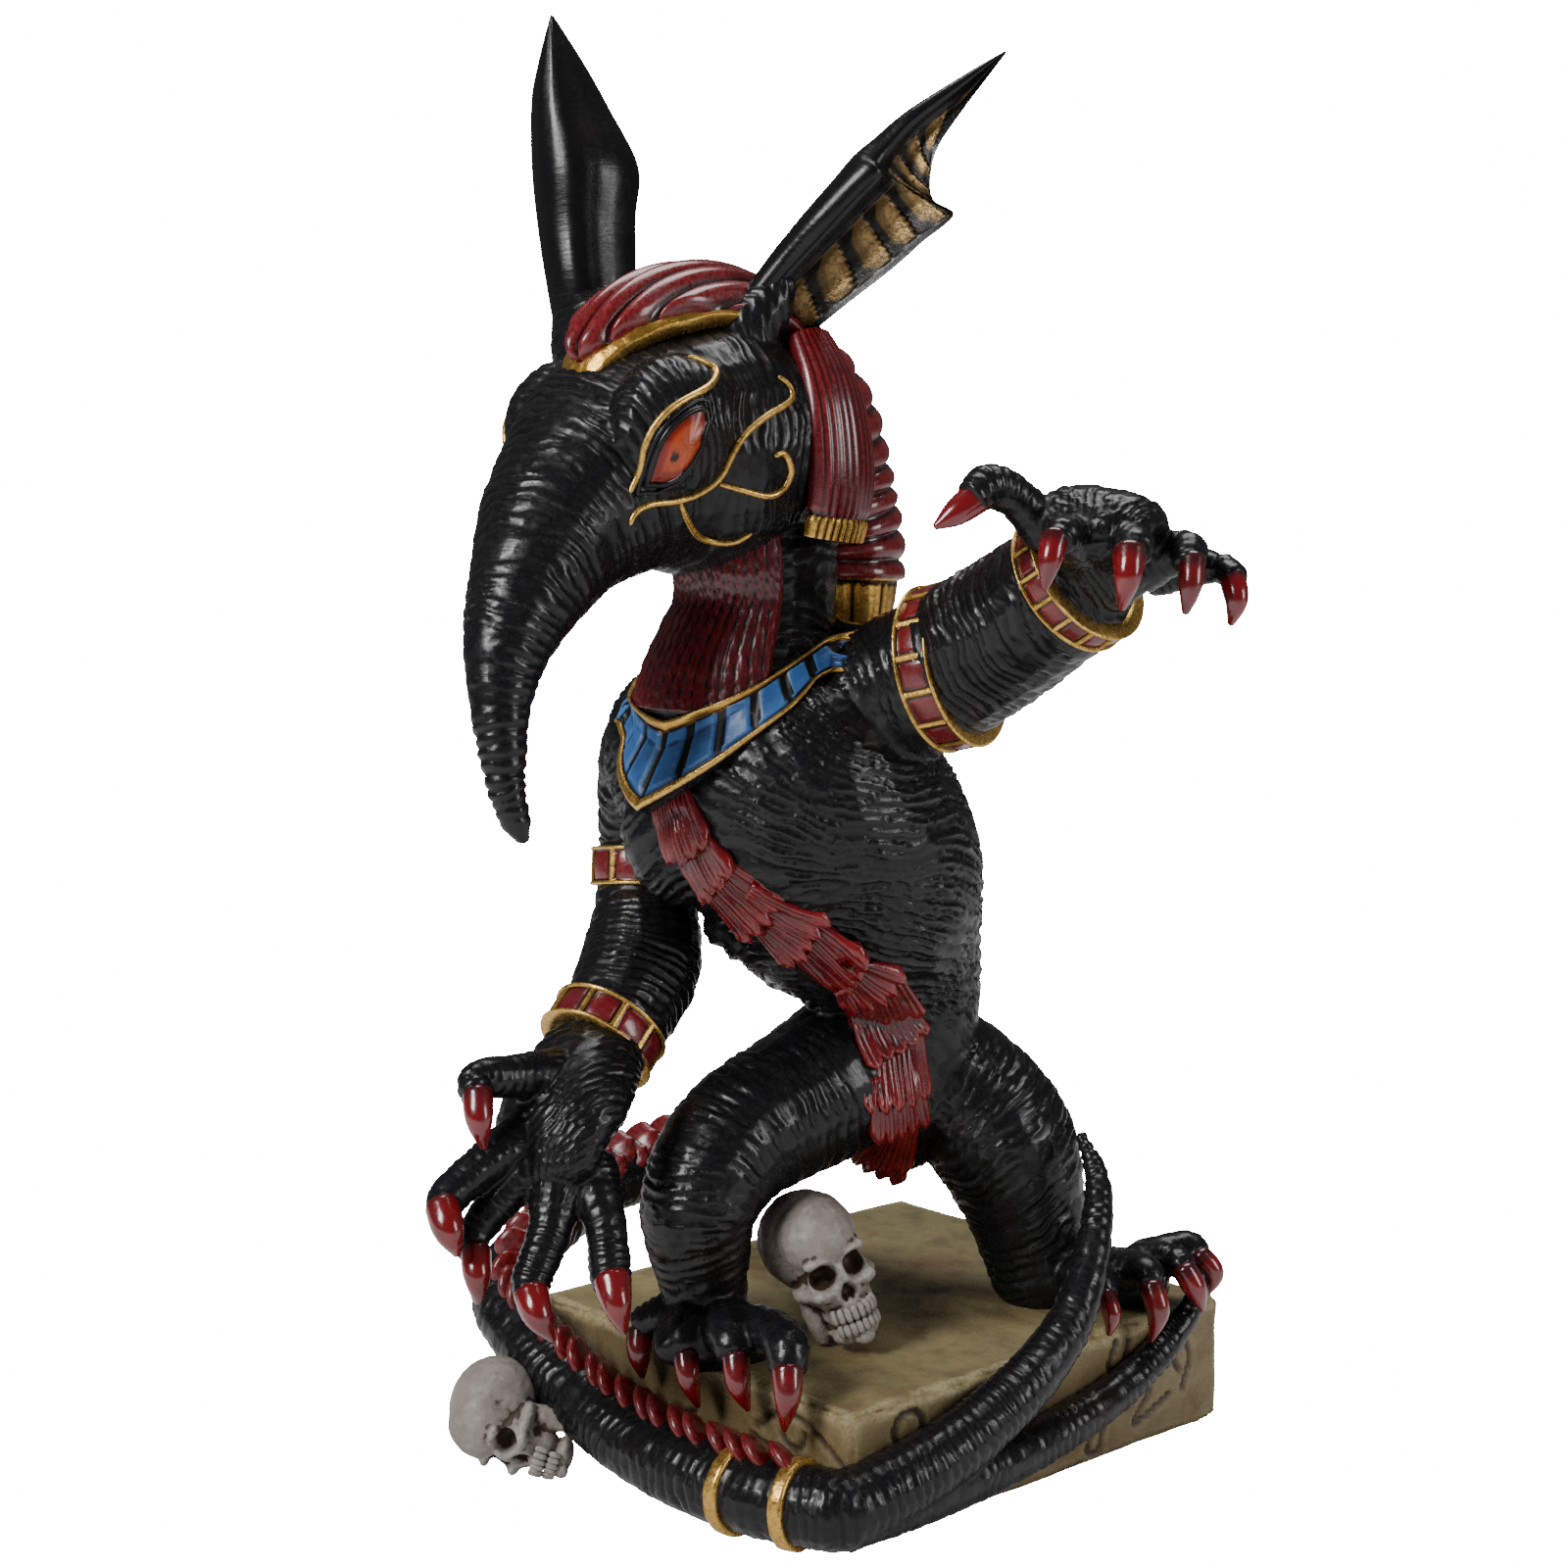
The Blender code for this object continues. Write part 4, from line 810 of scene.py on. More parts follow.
NECK = [
    (-25, -15, 100, 15),
    (-25.5, -14.5, 108, 17.5),
    (-24, -14, 117, 16),
    (-22, -13, 127, 13.5),
    (-22, -14, 138, 14),
]
HEAD = [
    (-16, -5, 154, 16, 15),
    (-21, -9, 154, 20.5, 19.5),
    (-33, -18, 154, 24, 22),
    (-44, -27, 151, 20, 19.5),
    (-53, -38, 142, 14.5, 14),
    (-57.4, -47, 133, 10.5, 10.3),
    (-60.6, -54, 123.7, 7.4, 7.4),
    (-61.6, -58, 114.7, 5.1, 5.1),
    (-61.2, -60, 107, 3.9, 3.9),
    (-60.5, -61, 100.7, 3.0, 3.0),
    (-59, -61, 95.4, 2.3, 2.3),
    (-58, -61, 93, 1.2, 1.2),
]
NEAR_EAR_ROOT = [
    (-25, -14, 150, 9),
    (-25.5, -19, 160, 8.4),
    (-25, -21.5, 168, 8.0),
    (-23.5, -22.5, 173, 6.6),
    (-20, -23.5, 177.5, 4.4),
    (-17.5, -24.2, 181, 2.4),
]
FAR_EAR_ROOT = [
    (-42, -6, 152, 9),
    (-47, -1, 162, 8.5),
    (-51, 4, 171, 7.8),
    (-52, 8, 179, 7, 5.5),
    (-52, 8.5, 184, 4, 2.4),
]

HEAD_AXES = turned(np.array([FRONT, LEFT, UP]))


def brow(side):
    """The swelling round one eye: side is 1 on the left and -1 on the right."""
    return ball(head_at((18, 13.5 * side, 2.5)), np.array([13, 8.8, 12]) * MM, HEAD_AXES)


head = skin_piece(
    "head_skin",
    [
        limb(HEAD, sides=28),
        limb(NECK),
        brow(1),
        brow(-1),
        limb(NEAR_EAR_ROOT),
        limb(FAR_EAR_ROOT),
    ],
    cell=0.47,
    rounds=3,
    limbs=[
        folds(HEAD, 1.85, 0.52),
        folds(NECK, 2.4, 0.7, 0.1),
        folds(NEAR_EAR_ROOT, 1.6, 0.35, 0.6),
        folds(FAR_EAR_ROOT, 2.0, 0.5),
    ],
    most=146000,
)

NEAR_PALM = [
    (28, -47, 133, 9, 8),
    (31, -54, 138.5, 11, 8),
    (32, -60, 141, 10, 6.5),
    (32, -65, 140, 6, 4),
]
NEAR_DIGITS = [
    [(23.5, -55, 140, 4), (18.5, -58, 145.5, 3.3), (14, -60, 147.5, 3.6), (11.5, -62, 146, 3)],
    [(27.5, -60, 138, 3.9), (25, -67, 140.5, 3.1), (23.5, -70, 139.5, 2.5)],
    [(32.5, -61, 138, 3.9), (35, -68, 139, 3.3), (34, -71, 137, 2.6)],
    [(38, -55, 135, 4.3), (44, -60, 138, 3.2), (44, -64, 136, 2.5)],
    [(41, -50, 134, 4), (49.5, -54.5, 135, 2.7), (52, -58.5, 133.5, 2.2)],
]
FAR_PALM = [
    (-49, -19, 52, 8.5, 7.5),
    (-53, -29, 46.5, 12, 7.5),
    (-55.5, -37, 40.5, 12.5, 7),
    (-55.5, -42, 34, 8.5, 5),
]
FAR_DIGITS = [
    [(-55, -31, 48.5, 4.9), (-62.5, -39, 50, 3.8), (-68, -43, 50.5, 3.2), (-67.5, -46, 48, 2.7)],
    [(-59, -37, 41, 4.8), (-67.5, -44, 36, 3.6), (-72.5, -48, 32, 3.4), (-72.5, -51, 30.5, 2.8)],
    [(-57.5, -39, 37.5, 4.8), (-65.5, -43, 29, 3.5), (-69, -46, 24, 2.8), (-68, -48, 22.5, 2.5)],
    [(-55, -41, 34.5, 5.1), (-56, -46, 26, 3.8), (-58.5, -51, 19.5, 3.4), (-58.5, -53, 17, 2.9)],
    [(-50, -39, 34, 5.1), (-47, -45, 26.5, 3.6), (-46, -49, 20, 3.6), (-45.5, -51, 18, 3.1)],
]
skin_piece(
    "near_arm_skin",
    [limb(NEAR_ARM[2:]), limb(NEAR_PALM), *[limb(d, sides=14) for d in NEAR_DIGITS]],
    cell=0.42,
    rounds=2,
    limbs=[folds(NEAR_ARM[2:], 1.9, 0.75, 0.2), folds(NEAR_PALM, 2.4, 0.5, 1.4)]
    + [folds(digit, 1.5, 0.34) for digit in NEAR_DIGITS],
    most=72000,
)
skin_piece(
    "far_arm_skin",
    [limb(FAR_ARM[2:]), limb(FAR_PALM), *[limb(d, sides=14) for d in FAR_DIGITS]],
    cell=0.42,
    rounds=2,
    limbs=[folds(FAR_ARM[2:], 1.9, 0.75, 0.2), folds(FAR_PALM, 2.4, 0.5, 1.4)]
    + [folds(digit, 1.6, 0.36) for digit in FAR_DIGITS],
    most=82000,
)


# Tail
# It leaves the small of the back, falls past the slab's left corner, runs along its front and
# forks: one branch climbs to the near knee, the other stays on the slab's right side.

TAIL_FREE = [(-2, 21, 35, 9), (-18, 28, 23.5, 7.4), (-36, 28, 18, 6.4), (-53, 21, 14, 6)]
TAIL_LAID = [
    (-SIDE_X - 7.5 * MM, -SIDE_Y + 4.0 * MM, 30 * MM, 5.8 * MM),
    (-SIDE_X - 3.5 * MM, -SIDE_Y - 5.5 * MM, 23 * MM, 5.9 * MM),
    (-SIDE_X * 0.76, -SIDE_Y - 8.0 * MM, 17.0 * MM, 6.1 * MM),
    (-SIDE_X * 0.40, -SIDE_Y - 8.5 * MM, 12.0 * MM, 6.4 * MM),
    (-SIDE_X * 0.05, -SIDE_Y - 9.0 * MM, 9.2 * MM, 6.6 * MM),
    (SIDE_X * 0.32, -SIDE_Y - 8.8 * MM, 8.2 * MM, 6.7 * MM),
    (SIDE_X * 0.70, -SIDE_Y - 7.0 * MM, 8.4 * MM, 6.7 * MM),
    (SIDE_X + 0.5 * MM, -SIDE_Y - 3.0 * MM, 9.0 * MM, 6.5 * MM),
]
UPPER_LAID = [
    (SIDE_X + 0.5 * MM, -SIDE_Y - 3.0 * MM, 9.0 * MM, 6.2 * MM),
    (SIDE_X + 2.8 * MM, -SIDE_Y * 0.84, 11.5 * MM, 5.9 * MM),
    (SIDE_X + 4.0 * MM, -SIDE_Y * 0.62, 14.5 * MM, 5.5 * MM),
    (SIDE_X + 4.6 * MM, -SIDE_Y * 0.42, 18 * MM, 5.1 * MM),
    (SIDE_X + 4.4 * MM, -SIDE_Y * 0.18, 23 * MM, 4.6 * MM),
]
UPPER_RAISED = [(31.7, -33, 7, 3.9), (36, -25, 17, 3.1), (37.5, -17.5, 26, 2.3), (35, -13, 33, 1)]
LOWER_BRANCH = [
    (SIDE_X + 0.5 * MM, -SIDE_Y - 3.0 * MM, 8.6 * MM, 6.0 * MM),
    (SIDE_X + 2.0 * MM, -SIDE_Y * 0.78, 8.0 * MM, 5.2 * MM),
    (SIDE_X + 2.6 * MM, -SIDE_Y * 0.40, 8.4 * MM, 4.6 * MM),
    (SIDE_X + 2.8 * MM, SIDE_Y * 0.05, 10.8 * MM, 3.9 * MM),
    (SIDE_X + 2.8 * MM, SIDE_Y * 0.40, 15.0 * MM, 3.3 * MM),
    (SIDE_X + 2.6 * MM, SIDE_Y * 0.66, 21.0 * MM, 2.6 * MM),
    (SIDE_X + 2.2 * MM, SIDE_Y * 0.80, 27 * MM, 1.9 * MM),
    (SIDE_X + 0.5 * MM, SIDE_Y * 0.82, 32 * MM, 1.0 * MM),
]


def in_world(stations):
    """Pose stations as world ones, with the girth last."""
    return [(*at(s[:3]), s[3] * MM) for s in stations]


def rope_samples(stations, steps=8):
    """Centres and girths along world stations."""
    samples = curve_through(stations, steps)
    return samples[:, :3], samples[:, 3], samples[:, 3]


TAIL = in_world(TAIL_FREE) + TAIL_LAID
UPPER_BRANCH = UPPER_LAID + in_world(UPPER_RAISED)
tail_lines = [rope_samples(line) for line in (TAIL, UPPER_BRANCH, LOWER_BRANCH)]


skin_piece(
    "tail_skin",
    [sweep(*line, UP, 18) for line in tail_lines],
    cell=0.5,
    rounds=2,
    limbs=[
        (tail_lines[0], 2.1, 0.42, 0.0),
        (tail_lines[1], 1.9, 0.38, 0.0),
        (tail_lines[2], 1.9, 0.34, 0.0),
    ],
    most=92000,
)


# Claws
# Horn cast with the fingers and toes and painted glossy crimson, darker where it leaves the skin.

CLAWS = [
    [(12, -61.5, 146, 2.6), (8.5, -63, 143.5, 2.1), (5.5, -64, 141.5, 0.6)],
    [(23, -70, 140, 2.2), (22, -72, 136.5, 1.8), (21.5, -71, 132.5, 0.6)],
    [(34, -71, 138, 2.5), (33.5, -73, 134, 2), (33, -71, 129.5, 0.6)],
    [(44.5, -64, 136.5, 2.1), (44, -66, 132.5, 1.8), (43.5, -65, 128.5, 0.6)],
    [(51.6, -57.8, 134, 2.0), (52, -60.5, 130.2, 1.8), (51.5, -59, 126.5, 0.6)],
    [(-67.5, -46.5, 49, 2.5), (-67, -49, 45, 2.2), (-66.5, -48, 40.5, 0.6)],
    [(-73, -51, 31.5, 2.8), (-71.5, -54, 28, 2.5), (-70.5, -53, 24, 0.6)],
    [(-68, -48, 23, 2.5), (-67.5, -51, 19.5, 2.2), (-67.5, -50, 15, 0.6)],
    [(-58.5, -53, 17.5, 2.9), (-57, -56, 14.5, 2.4), (-55, -55, 10.5, 0.6)],
    [(-45.5, -51, 19, 3.1), (-44.5, -54, 15.5, 2.3), (-43.5, -53, 11, 0.6)],
    [(-42.5, -27, 2, 2.3), (-42.5, -29, -1.5, 2), (-42, -28.5, -5.5, 0.5)],
    [(-34, -40, 2.5, 2.2), (-33.5, -42, -1, 1.9), (-32, -41, -6, 0.5)],
    [(-25.5, -48, 5, 2.3), (-25, -50, 1, 2), (-23.5, -49, -3.5, 0.5)],
    [(-17, -57, 6, 2.6), (-17, -59, 2, 2.1), (-17.5, -58, -3.5, 0.5)],
    [(38.5, -22, 7, 1.8), (39.5, -24, 4, 1.6), (39, -24, 0.5, 0.5)],
    [(47, -19, 7.5, 2.2), (48, -21, 3.5, 2), (47, -20, -2, 0.5)],
    [(53.5, -14, 9, 2.2), (55.5, -15, 5.5, 2), (57, -14, 1.5, 0.5)],
    [(57.5, -6, 9, 2.2), (60, -7, 6, 1.9), (59, -6.5, 2, 0.5)],
]
# Width over depth, and the length over which the paint brightens.
CLAW_SPREAD = 1.04
CLAW_FADE = 7 * MM


def claws():
    """All the claws, with their way from root to tip stored for the paint."""
    shapes, roots = [], []
    for claw in CLAWS:
        centres, wide, deep = world_limb(claw, 6)
        points, faces = sweep(centres, wide * CLAW_SPREAD, deep, turned(LEFT), 16)
        shapes.append((points, faces))
        roots.append(1 - np.clip(np.linalg.norm(points - centres[0], axis=1) / CLAW_FADE, 0, 1))
    made = mesh_piece("claws", *together(shapes))
    store(made.data, "ridge", 0.5 - 0.5 * smoothstep(np.concatenate(roots), 0.45, 0.9))
    crimson_gloss = painted(
        "crimson_gloss",
        coat=(0.165, 0.003, 0.006),
        wash_and_shade=(0.035, 0.002, 0.004),
        brush_and_highlight=(0.30, 0.02, 0.02),
        shares=(0.9, 0.2, 0.45),
        rough=(0.14, 0.3),
        bump=0.12,
        coat_weight=0.7,
    )
    set_on_figure(made, crimson_gloss)


claws()


# Ears
# Two leathery leaves cast with the head: the near one turns its hollow to the front, painted in
# antique gold over twelve overlapping ribs, and the far one turns its smooth round back.

# The edges of each ear from its root to its tip.
NEAR_EAR = [
    ((-30.5, -23, 171.5), (-16.5, -20, 168.5)),
    ((-26, -24, 177), (-13.5, -21, 172)),
    ((-20, -25, 185), (-8, -24, 176.5)),
    ((-14.5, -27, 191.5), (0, -27, 182.5)),
    ((-10, -28, 196.5), (5, -29, 186.8)),
    ((-7, -28, 200), (10, -31, 191)),
    ((-5.5, -28, 201.5), (6.8, -30, 193.5)),
    ((-3, -28, 203.5), (6.3, -29, 197)),
    ((2.5, -28, 208), (7.5, -28, 202)),
    ((12, -27, 214), (11.5, -27, 208)),
    ((18.4, -27, 217.6), (18.6, -27, 217.2)),
]
FAR_EAR = [
    ((-58.5, 8, 174.5), (-45, 8, 174.5)),
    ((-60, 8, 183.5), (-44, 9, 184)),
    ((-61.5, 10, 193), (-44, 11, 194.5)),
    ((-62.5, 11, 203.5), (-43.5, 12, 203.5)),
    ((-62.5, 12, 215), (-48.5, 13, 213.5)),
    ((-61, 12, 222.5), (-53, 13, 221.5)),
    ((-59, 12, 229.8), (-58.4, 12, 229.8)),
]
# Share of the way across an ear, then how far each side stands out in shares of its width.
HOLLOW_SIDE = [(0, 0), (0.10, 0.14), (0.26, 0.17), (0.42, -0.02), (0.62, -0.14), (0.84, -0.09)]
HOLLOW_SIDE += [(1, 0)]
ROUND_SIDE = [(1, 0), (0.84, 0.17), (0.62, 0.30), (0.38, 0.36), (0.15, 0.24), (0, 0)]
EAR_RIBS = 12
RIB_STEP = 0.6 * MM
VEIN_PACE = 44
VEIN_RISE = 0.025 * MM
# Columns across an ear: its rim, its hollow, its thin lower edge and its back.
RIM_COLUMNS, HOLLOW_COLUMNS, EDGE_COLUMNS, BACK_COLUMNS = 14, 29, 7, 30


def lofted(name, rings, loop=False):
    """A closed skin over rings of equal size: capped at both ends, or joined end to end as a loop."""
    return mesh_piece(name, rings.reshape(-1, 3), loft_faces(*rings.shape[:2], loop))


def zoned(made, zones):
    """Gives the faces of a lofted piece the finishes with those numbers."""
    numbers = np.zeros(len(made.data.polygons), np.int32)
    flat = np.asarray(zones, np.int32).ravel()
    numbers[: len(flat)] = flat
    made.data.polygons.foreach_set("material_index", numbers)


ANTIQUE_GOLD = painted(
    "antique_gold",
    coat=(0.50, 0.27, 0.052),
    wash_and_shade=(0.05, 0.024, 0.008),
    brush_and_highlight=(0.90, 0.58, 0.17),
    shares=(1.0, 0.6, 0.35),
    rough=(0.22, 0.38),
    bump=0.3,
    metallic=0.85,
)
DULL_GOLD = painted(
    "dull_gold",
    coat=(0.10, 0.060, 0.018),
    wash_and_shade=(0.005, 0.004, 0.003),
    brush_and_highlight=(0.34, 0.21, 0.075),
    shares=(1.0, 0.7, 0.75),
    rough=(0.28, 0.42),
    bump=0.4,
    metallic=0.6,
)


def ear(name, edges, back, gilded):
    """A leaf between two edges: a round back towards back, and a rim with a hollow in front."""
    first, second = (at(curve_through([pair[i] for pair in edges], 14)) for i in (0, 1))
    rows = len(first)
    go = np.arange(rows)[:, None] / (rows - 1)
    # Gold fills the hollow from the rim's foot to the thin lower edge, and thins out at both ends.
    opening = smoothstep(go, 0.02, 0.14) * smoothstep(go, 0.95, 0.72)
    low = 0.42 + 0.20 * (1 - opening)
    high = 0.66 + (0.25 + 0.06 * smoothstep(go, 0.38, 0.55)) * opening
    columns = [low * np.linspace(0, 1, RIM_COLUMNS)]
    columns.append(low + (high - low) * np.linspace(0, 1, HOLLOW_COLUMNS + 1)[1:])
    columns.append(high + (1 - high) * np.linspace(0, 1, EDGE_COLUMNS + 1)[1:])
    front = np.concatenate(columns, 1)
    behind = np.broadcast_to(np.linspace(1, 0, BACK_COLUMNS + 2)[1:-1], (rows, BACK_COLUMNS))
    hollow, back_side = curve_through(HOLLOW_SIDE, 12), curve_through(ROUND_SIDE, 12)[::-1]
    stands = [-np.interp(front, hollow[:, 0], hollow[:, 1])]
    stands.append(np.interp(behind, back_side[:, 0], back_side[:, 1]))
    shares, stands = np.concatenate([front, behind], 1), np.concatenate(stands, 1)
    across = second - first
    width = np.linalg.norm(across, axis=1)[:, None]
    inside = np.zeros(shares.shape, bool)
    inside[:, RIM_COLUMNS : RIM_COLUMNS + HOLLOW_COLUMNS] = gilded
    ribs = (go + 0.10 * shares) * EAR_RIBS
    rise = ribs % 1.0
    lift = np.where(inside, (rise - 0.5) * RIB_STEP, 0)
    veins = np.sin(shares * VEIN_PACE + 2 * np.sin(go * 6)) * VEIN_RISE
    stands = stands * width - (lift + veins) * (opening if gilded else 1)
    rings = first[:, None] + across[:, None] * shares[..., None] + turned(back) * stands[..., None]
    made = lofted(name, rings)
    edge = np.abs(shares - (low + high) / 2) / np.maximum(high - low, 0.01)
    # The gold is darker where each rib starts, at the step between ribs, and towards the gold's edges:
    # partly a wash, partly painted shade.
    gold_wash_and_shade = 0.08 + 0.85 * smoothstep(rise, 0.05, 0.75) - 0.45 * smoothstep(edge, 0.25, 0.5)
    wash_and_shade = np.where(inside, gold_wash_and_shade, 0.62 + 0.04 * np.sin(shares * VEIN_PACE))
    store(made.data, "ridge", np.clip(wash_and_shade, 0, 1).ravel())
    store(made.data, "along", np.repeat(go * 0.06, rings.shape[1]))
    zones = np.zeros(rings.shape[:2], int)
    zones[:, RIM_COLUMNS - 1 : RIM_COLUMNS + HOLLOW_COLUMNS - 1] = gilded
    zoned(made, zones[:-1] * (opening[:-1] > 0.02))
    set_on_figure(made, SKIN, DULL_GOLD)


ear("near_ear", NEAR_EAR, AWAY, True)
ear("far_ear", FAR_EAR, -AWAY, False)


# Headdress
# A fluted crimson cloth cap, cast with the head: nine rounded flutes run from brow to nape over
# a hammered gold band, a flat pleated lock hangs by each cheek, and stacked rolls fall down the
# nape. The lock and the rolls end in gold fringes.

CAP_RADII = (29.0, 19.0, 26.0)
CAP_CENTRE = (1.5, 0, 3.0)
CAP_FLUTES = 9
FLUTE_STEPS = 12
FLUTE_ROWS = 74
FLUTE_RISE = 0.11
# In degrees: how far the cap reaches to each side and to the back, and how round its flutes end.
CAP_WIDEST = 60
CAP_BACK = 196
FLUTE_END = 5.0
# In degrees: the cap's front edge in the middle, how far it is drawn back, and at which side.
FRONT_LOW = 20
FRONT_DRAWN = 44
FRONT_CORNER = 39
# In degrees: the band's reach to each side, below and above the front edge, and its point.
BAND_WIDEST = 46
BAND_BELOW = 5.5
BAND_ABOVE = 4
BAND_POINT = 6.0
POINT_HALF = 22
# The inner faces of the cap and of the band, as shares of the cap's radii.
CAP_INSIDE = 0.90
BAND_INSIDE = 0.88
# Forward, up, half width and half depth, from the middle of the head.
NAPE = [
    (-19.5, 15, 12, 7),
    (-23.5, 6, 14, 10),
    (-26.5, -3, 14, 11),
    (-28, -10, 14.5, 11),
    (-29.5, -17, 14.5, 11.5),
    (-29.5, -25, 14.5, 11),
    (-29, -33.5, 13.5, 9),
]
NAPE_ROLLS = 11
# The height of the gold fringe in rolls, and the strands round half of the lock.
FRINGE_ROLLS = 2.2
NAPE_STRANDS = 17
# Forward, left, up, half width and half thickness.
SIDE_LAPPET = [
    (-9, 16, 18, 4.4, 2.5),
    (-9, 20.5, 11, 5.8, 3),
    (-9, 23, 4, 6.6, 3),
    (-9.5, 23.5, -4, 7.0, 3),
    (-9.5, 23, -10, 7.0, 2.8),
    (-9, 22, -15.5, 6.7, 2.4),
]
LAPPET_PLEATS = 10
# The share of a lock at which it is gathered and its gold fringe starts.
LAPPET_TIED = 0.86

CRIMSON_CLOTH = painted(
    "crimson_cloth",
    coat=(0.105, 0.0028, 0.006),
    wash_and_shade=(0.020, 0.001, 0.002),
    brush_and_highlight=(0.26, 0.020, 0.022),
    shares=(0.85, 0.5, 0.4),
    rough=(0.2, 0.36),
    bump=0.15,
    coat_weight=0.45,
)


def cap_point(side, over, scale):
    """Places on the cap, in degrees: side from ear to ear, over from brow to nape."""
    side, over = np.radians(side), np.radians(over)
    flat = np.cos(side)
    forward = CAP_CENTRE[0] + CAP_RADII[0] * scale * flat * np.cos(over)
    left = CAP_CENTRE[1] + CAP_RADII[1] * scale * np.sin(side)
    up = CAP_CENTRE[2] + CAP_RADII[2] * scale * flat * np.sin(over)
    return head_at(np.stack(np.broadcast_arrays(forward, left, up), -1))


def cap_front(side):
    """Where the cap's front edge lies: lowest over the snout, and drawn back to the ears."""
    drawn = FRONT_LOW + FRONT_DRAWN * np.minimum(1.0, np.abs(side) / FRONT_CORNER) ** 1.7
    return drawn + 4.5 * np.maximum(0, np.abs(side) - FRONT_CORNER)


def cap():
    """Rounded flutes with deep seams between them and round ends over the band."""
    side = np.linspace(-CAP_WIDEST, CAP_WIDEST, CAP_FLUTES * FLUTE_STEPS + 1)[:, None]
    ripple = np.abs(np.cos(CAP_FLUTES * math.pi * (side / CAP_WIDEST + 1) / 2))
    round_end = FLUTE_END * (1 - np.sqrt(1 - np.clip(1 - ripple, 0, 1) ** 2 * 0.98))
    start = cap_front(side) + 3.0 + round_end
    share = np.linspace(0, 1, FLUTE_ROWS + 1)[None] ** 1.5
    over = start + (CAP_BACK - start) * share
    nose = np.sqrt(1 - (1 - np.clip((over - start) / 7, 0, 1)) ** 2)
    rise = 1 + FLUTE_RISE * (np.sqrt(ripple) - 0.35) * nose
    skin = cap_point(side, over, (0.965 + 0.045 * nose) * rise)
    under = cap_point(side, over, CAP_INSIDE)
    rings = np.concatenate([skin, under[:, ::-1]], 1)
    set_on_figure(lofted("headdress_cap", rings), CRIMSON_CLOTH, reach=0.09, rounds=3)


def headband():
    """Hammered gold along the cap's front edge, drawn to a point over the snout."""
    side = np.linspace(-BAND_WIDEST, BAND_WIDEST, 121)[:, None]
    point = BAND_POINT * np.maximum(0, 1 - np.abs(side) / POINT_HALF) ** 0.8
    low, high = cap_front(side) - BAND_BELOW - point, cap_front(side) + BAND_ABOVE
    share = np.linspace(0, 1, 15)[None]
    crown = np.sqrt(np.maximum(0, 1 - (2 * share - 1) ** 6))
    over = low + (high - low) * share
    outer = cap_point(side, over, (0.985 + 0.01 * share) * (0.975 + 0.025 * crown))
    flat = outer.reshape(-1, 3)
    beaten = 0.10 * uneven(flat, 3.2 * MM, 31) + 0.04 * uneven(flat, 1.3 * MM, 32)
    outward = unit_rows(flat - head_at(np.array([CAP_CENTRE])))
    outer = (flat + outward * (beaten * MM)[:, None]).reshape(outer.shape)
    inner = cap_point(side, over, BAND_INSIDE)
    rings = np.concatenate([outer, inner[:, ::-1]], 1)
    set_on_figure(lofted("headband", rings), ANTIQUE_GOLD, reach=0.25, rounds=3)


def rounds_of(centres, side):
    """The two directions across a line, the first nearest to side."""
    tangents = tangents_of(centres)
    x_axis = unit_rows(side - tangents * (tangents @ side)[:, None])
    return x_axis, np.cross(tangents, x_axis)


def tube(centres, wide, deep, side):
    """Rings along a line from half widths and half depths, given per ring or per point."""
    x_axis, y_axis = rounds_of(centres, side)
    wide = np.atleast_2d(wide)
    count = wide.shape[1]
    angles = np.arange(count) * 2 * math.pi / count
    ring = x_axis[:, None] * (np.cos(angles) * wide)[..., None]
    return centres[:, None] + ring + y_axis[:, None] * (np.sin(angles) * deep)[..., None]


def side_lappet(side):
    """A flat pleated lock by one cheek, ending in a row of gold tubes."""
    stations = [(*head_at((f, left * side, u)), w * MM, d * MM) for f, left, u, w, d in SIDE_LAPPET]
    samples = curve_through(stations, 14)
    rows, count = len(samples), 88
    angles = np.arange(count) * 2 * math.pi / count
    pleat = np.sqrt(np.abs(np.sin(LAPPET_PLEATS * math.pi * (np.cos(angles) + 1) / 2)))
    go = np.linspace(0, 1, rows)[:, None]
    fringe = go > LAPPET_TIED
    swell = np.where(fringe, 0.75 * pleat - 0.45, 0.42 * pleat - 0.2) * MM
    gathered = 1 - 0.10 * np.exp(-(((go - LAPPET_TIED + 0.01) / 0.018) ** 2))
    wide = samples[:, 3:4] * gathered + swell * 0.3
    deep = samples[:, 4:5] * gathered + swell * np.abs(np.sin(angles)) ** 0.3
    name = "side_lappet_left" if side > 0 else "side_lappet_right"
    made = lofted(name, tube(samples[:, :3], wide, deep, turned(FRONT)))
    zoned(made, np.repeat(fringe[1:], count, 1))
    set_on_figure(made, CRIMSON_CLOTH, ANTIQUE_GOLD, reach=0.05, rounds=2)


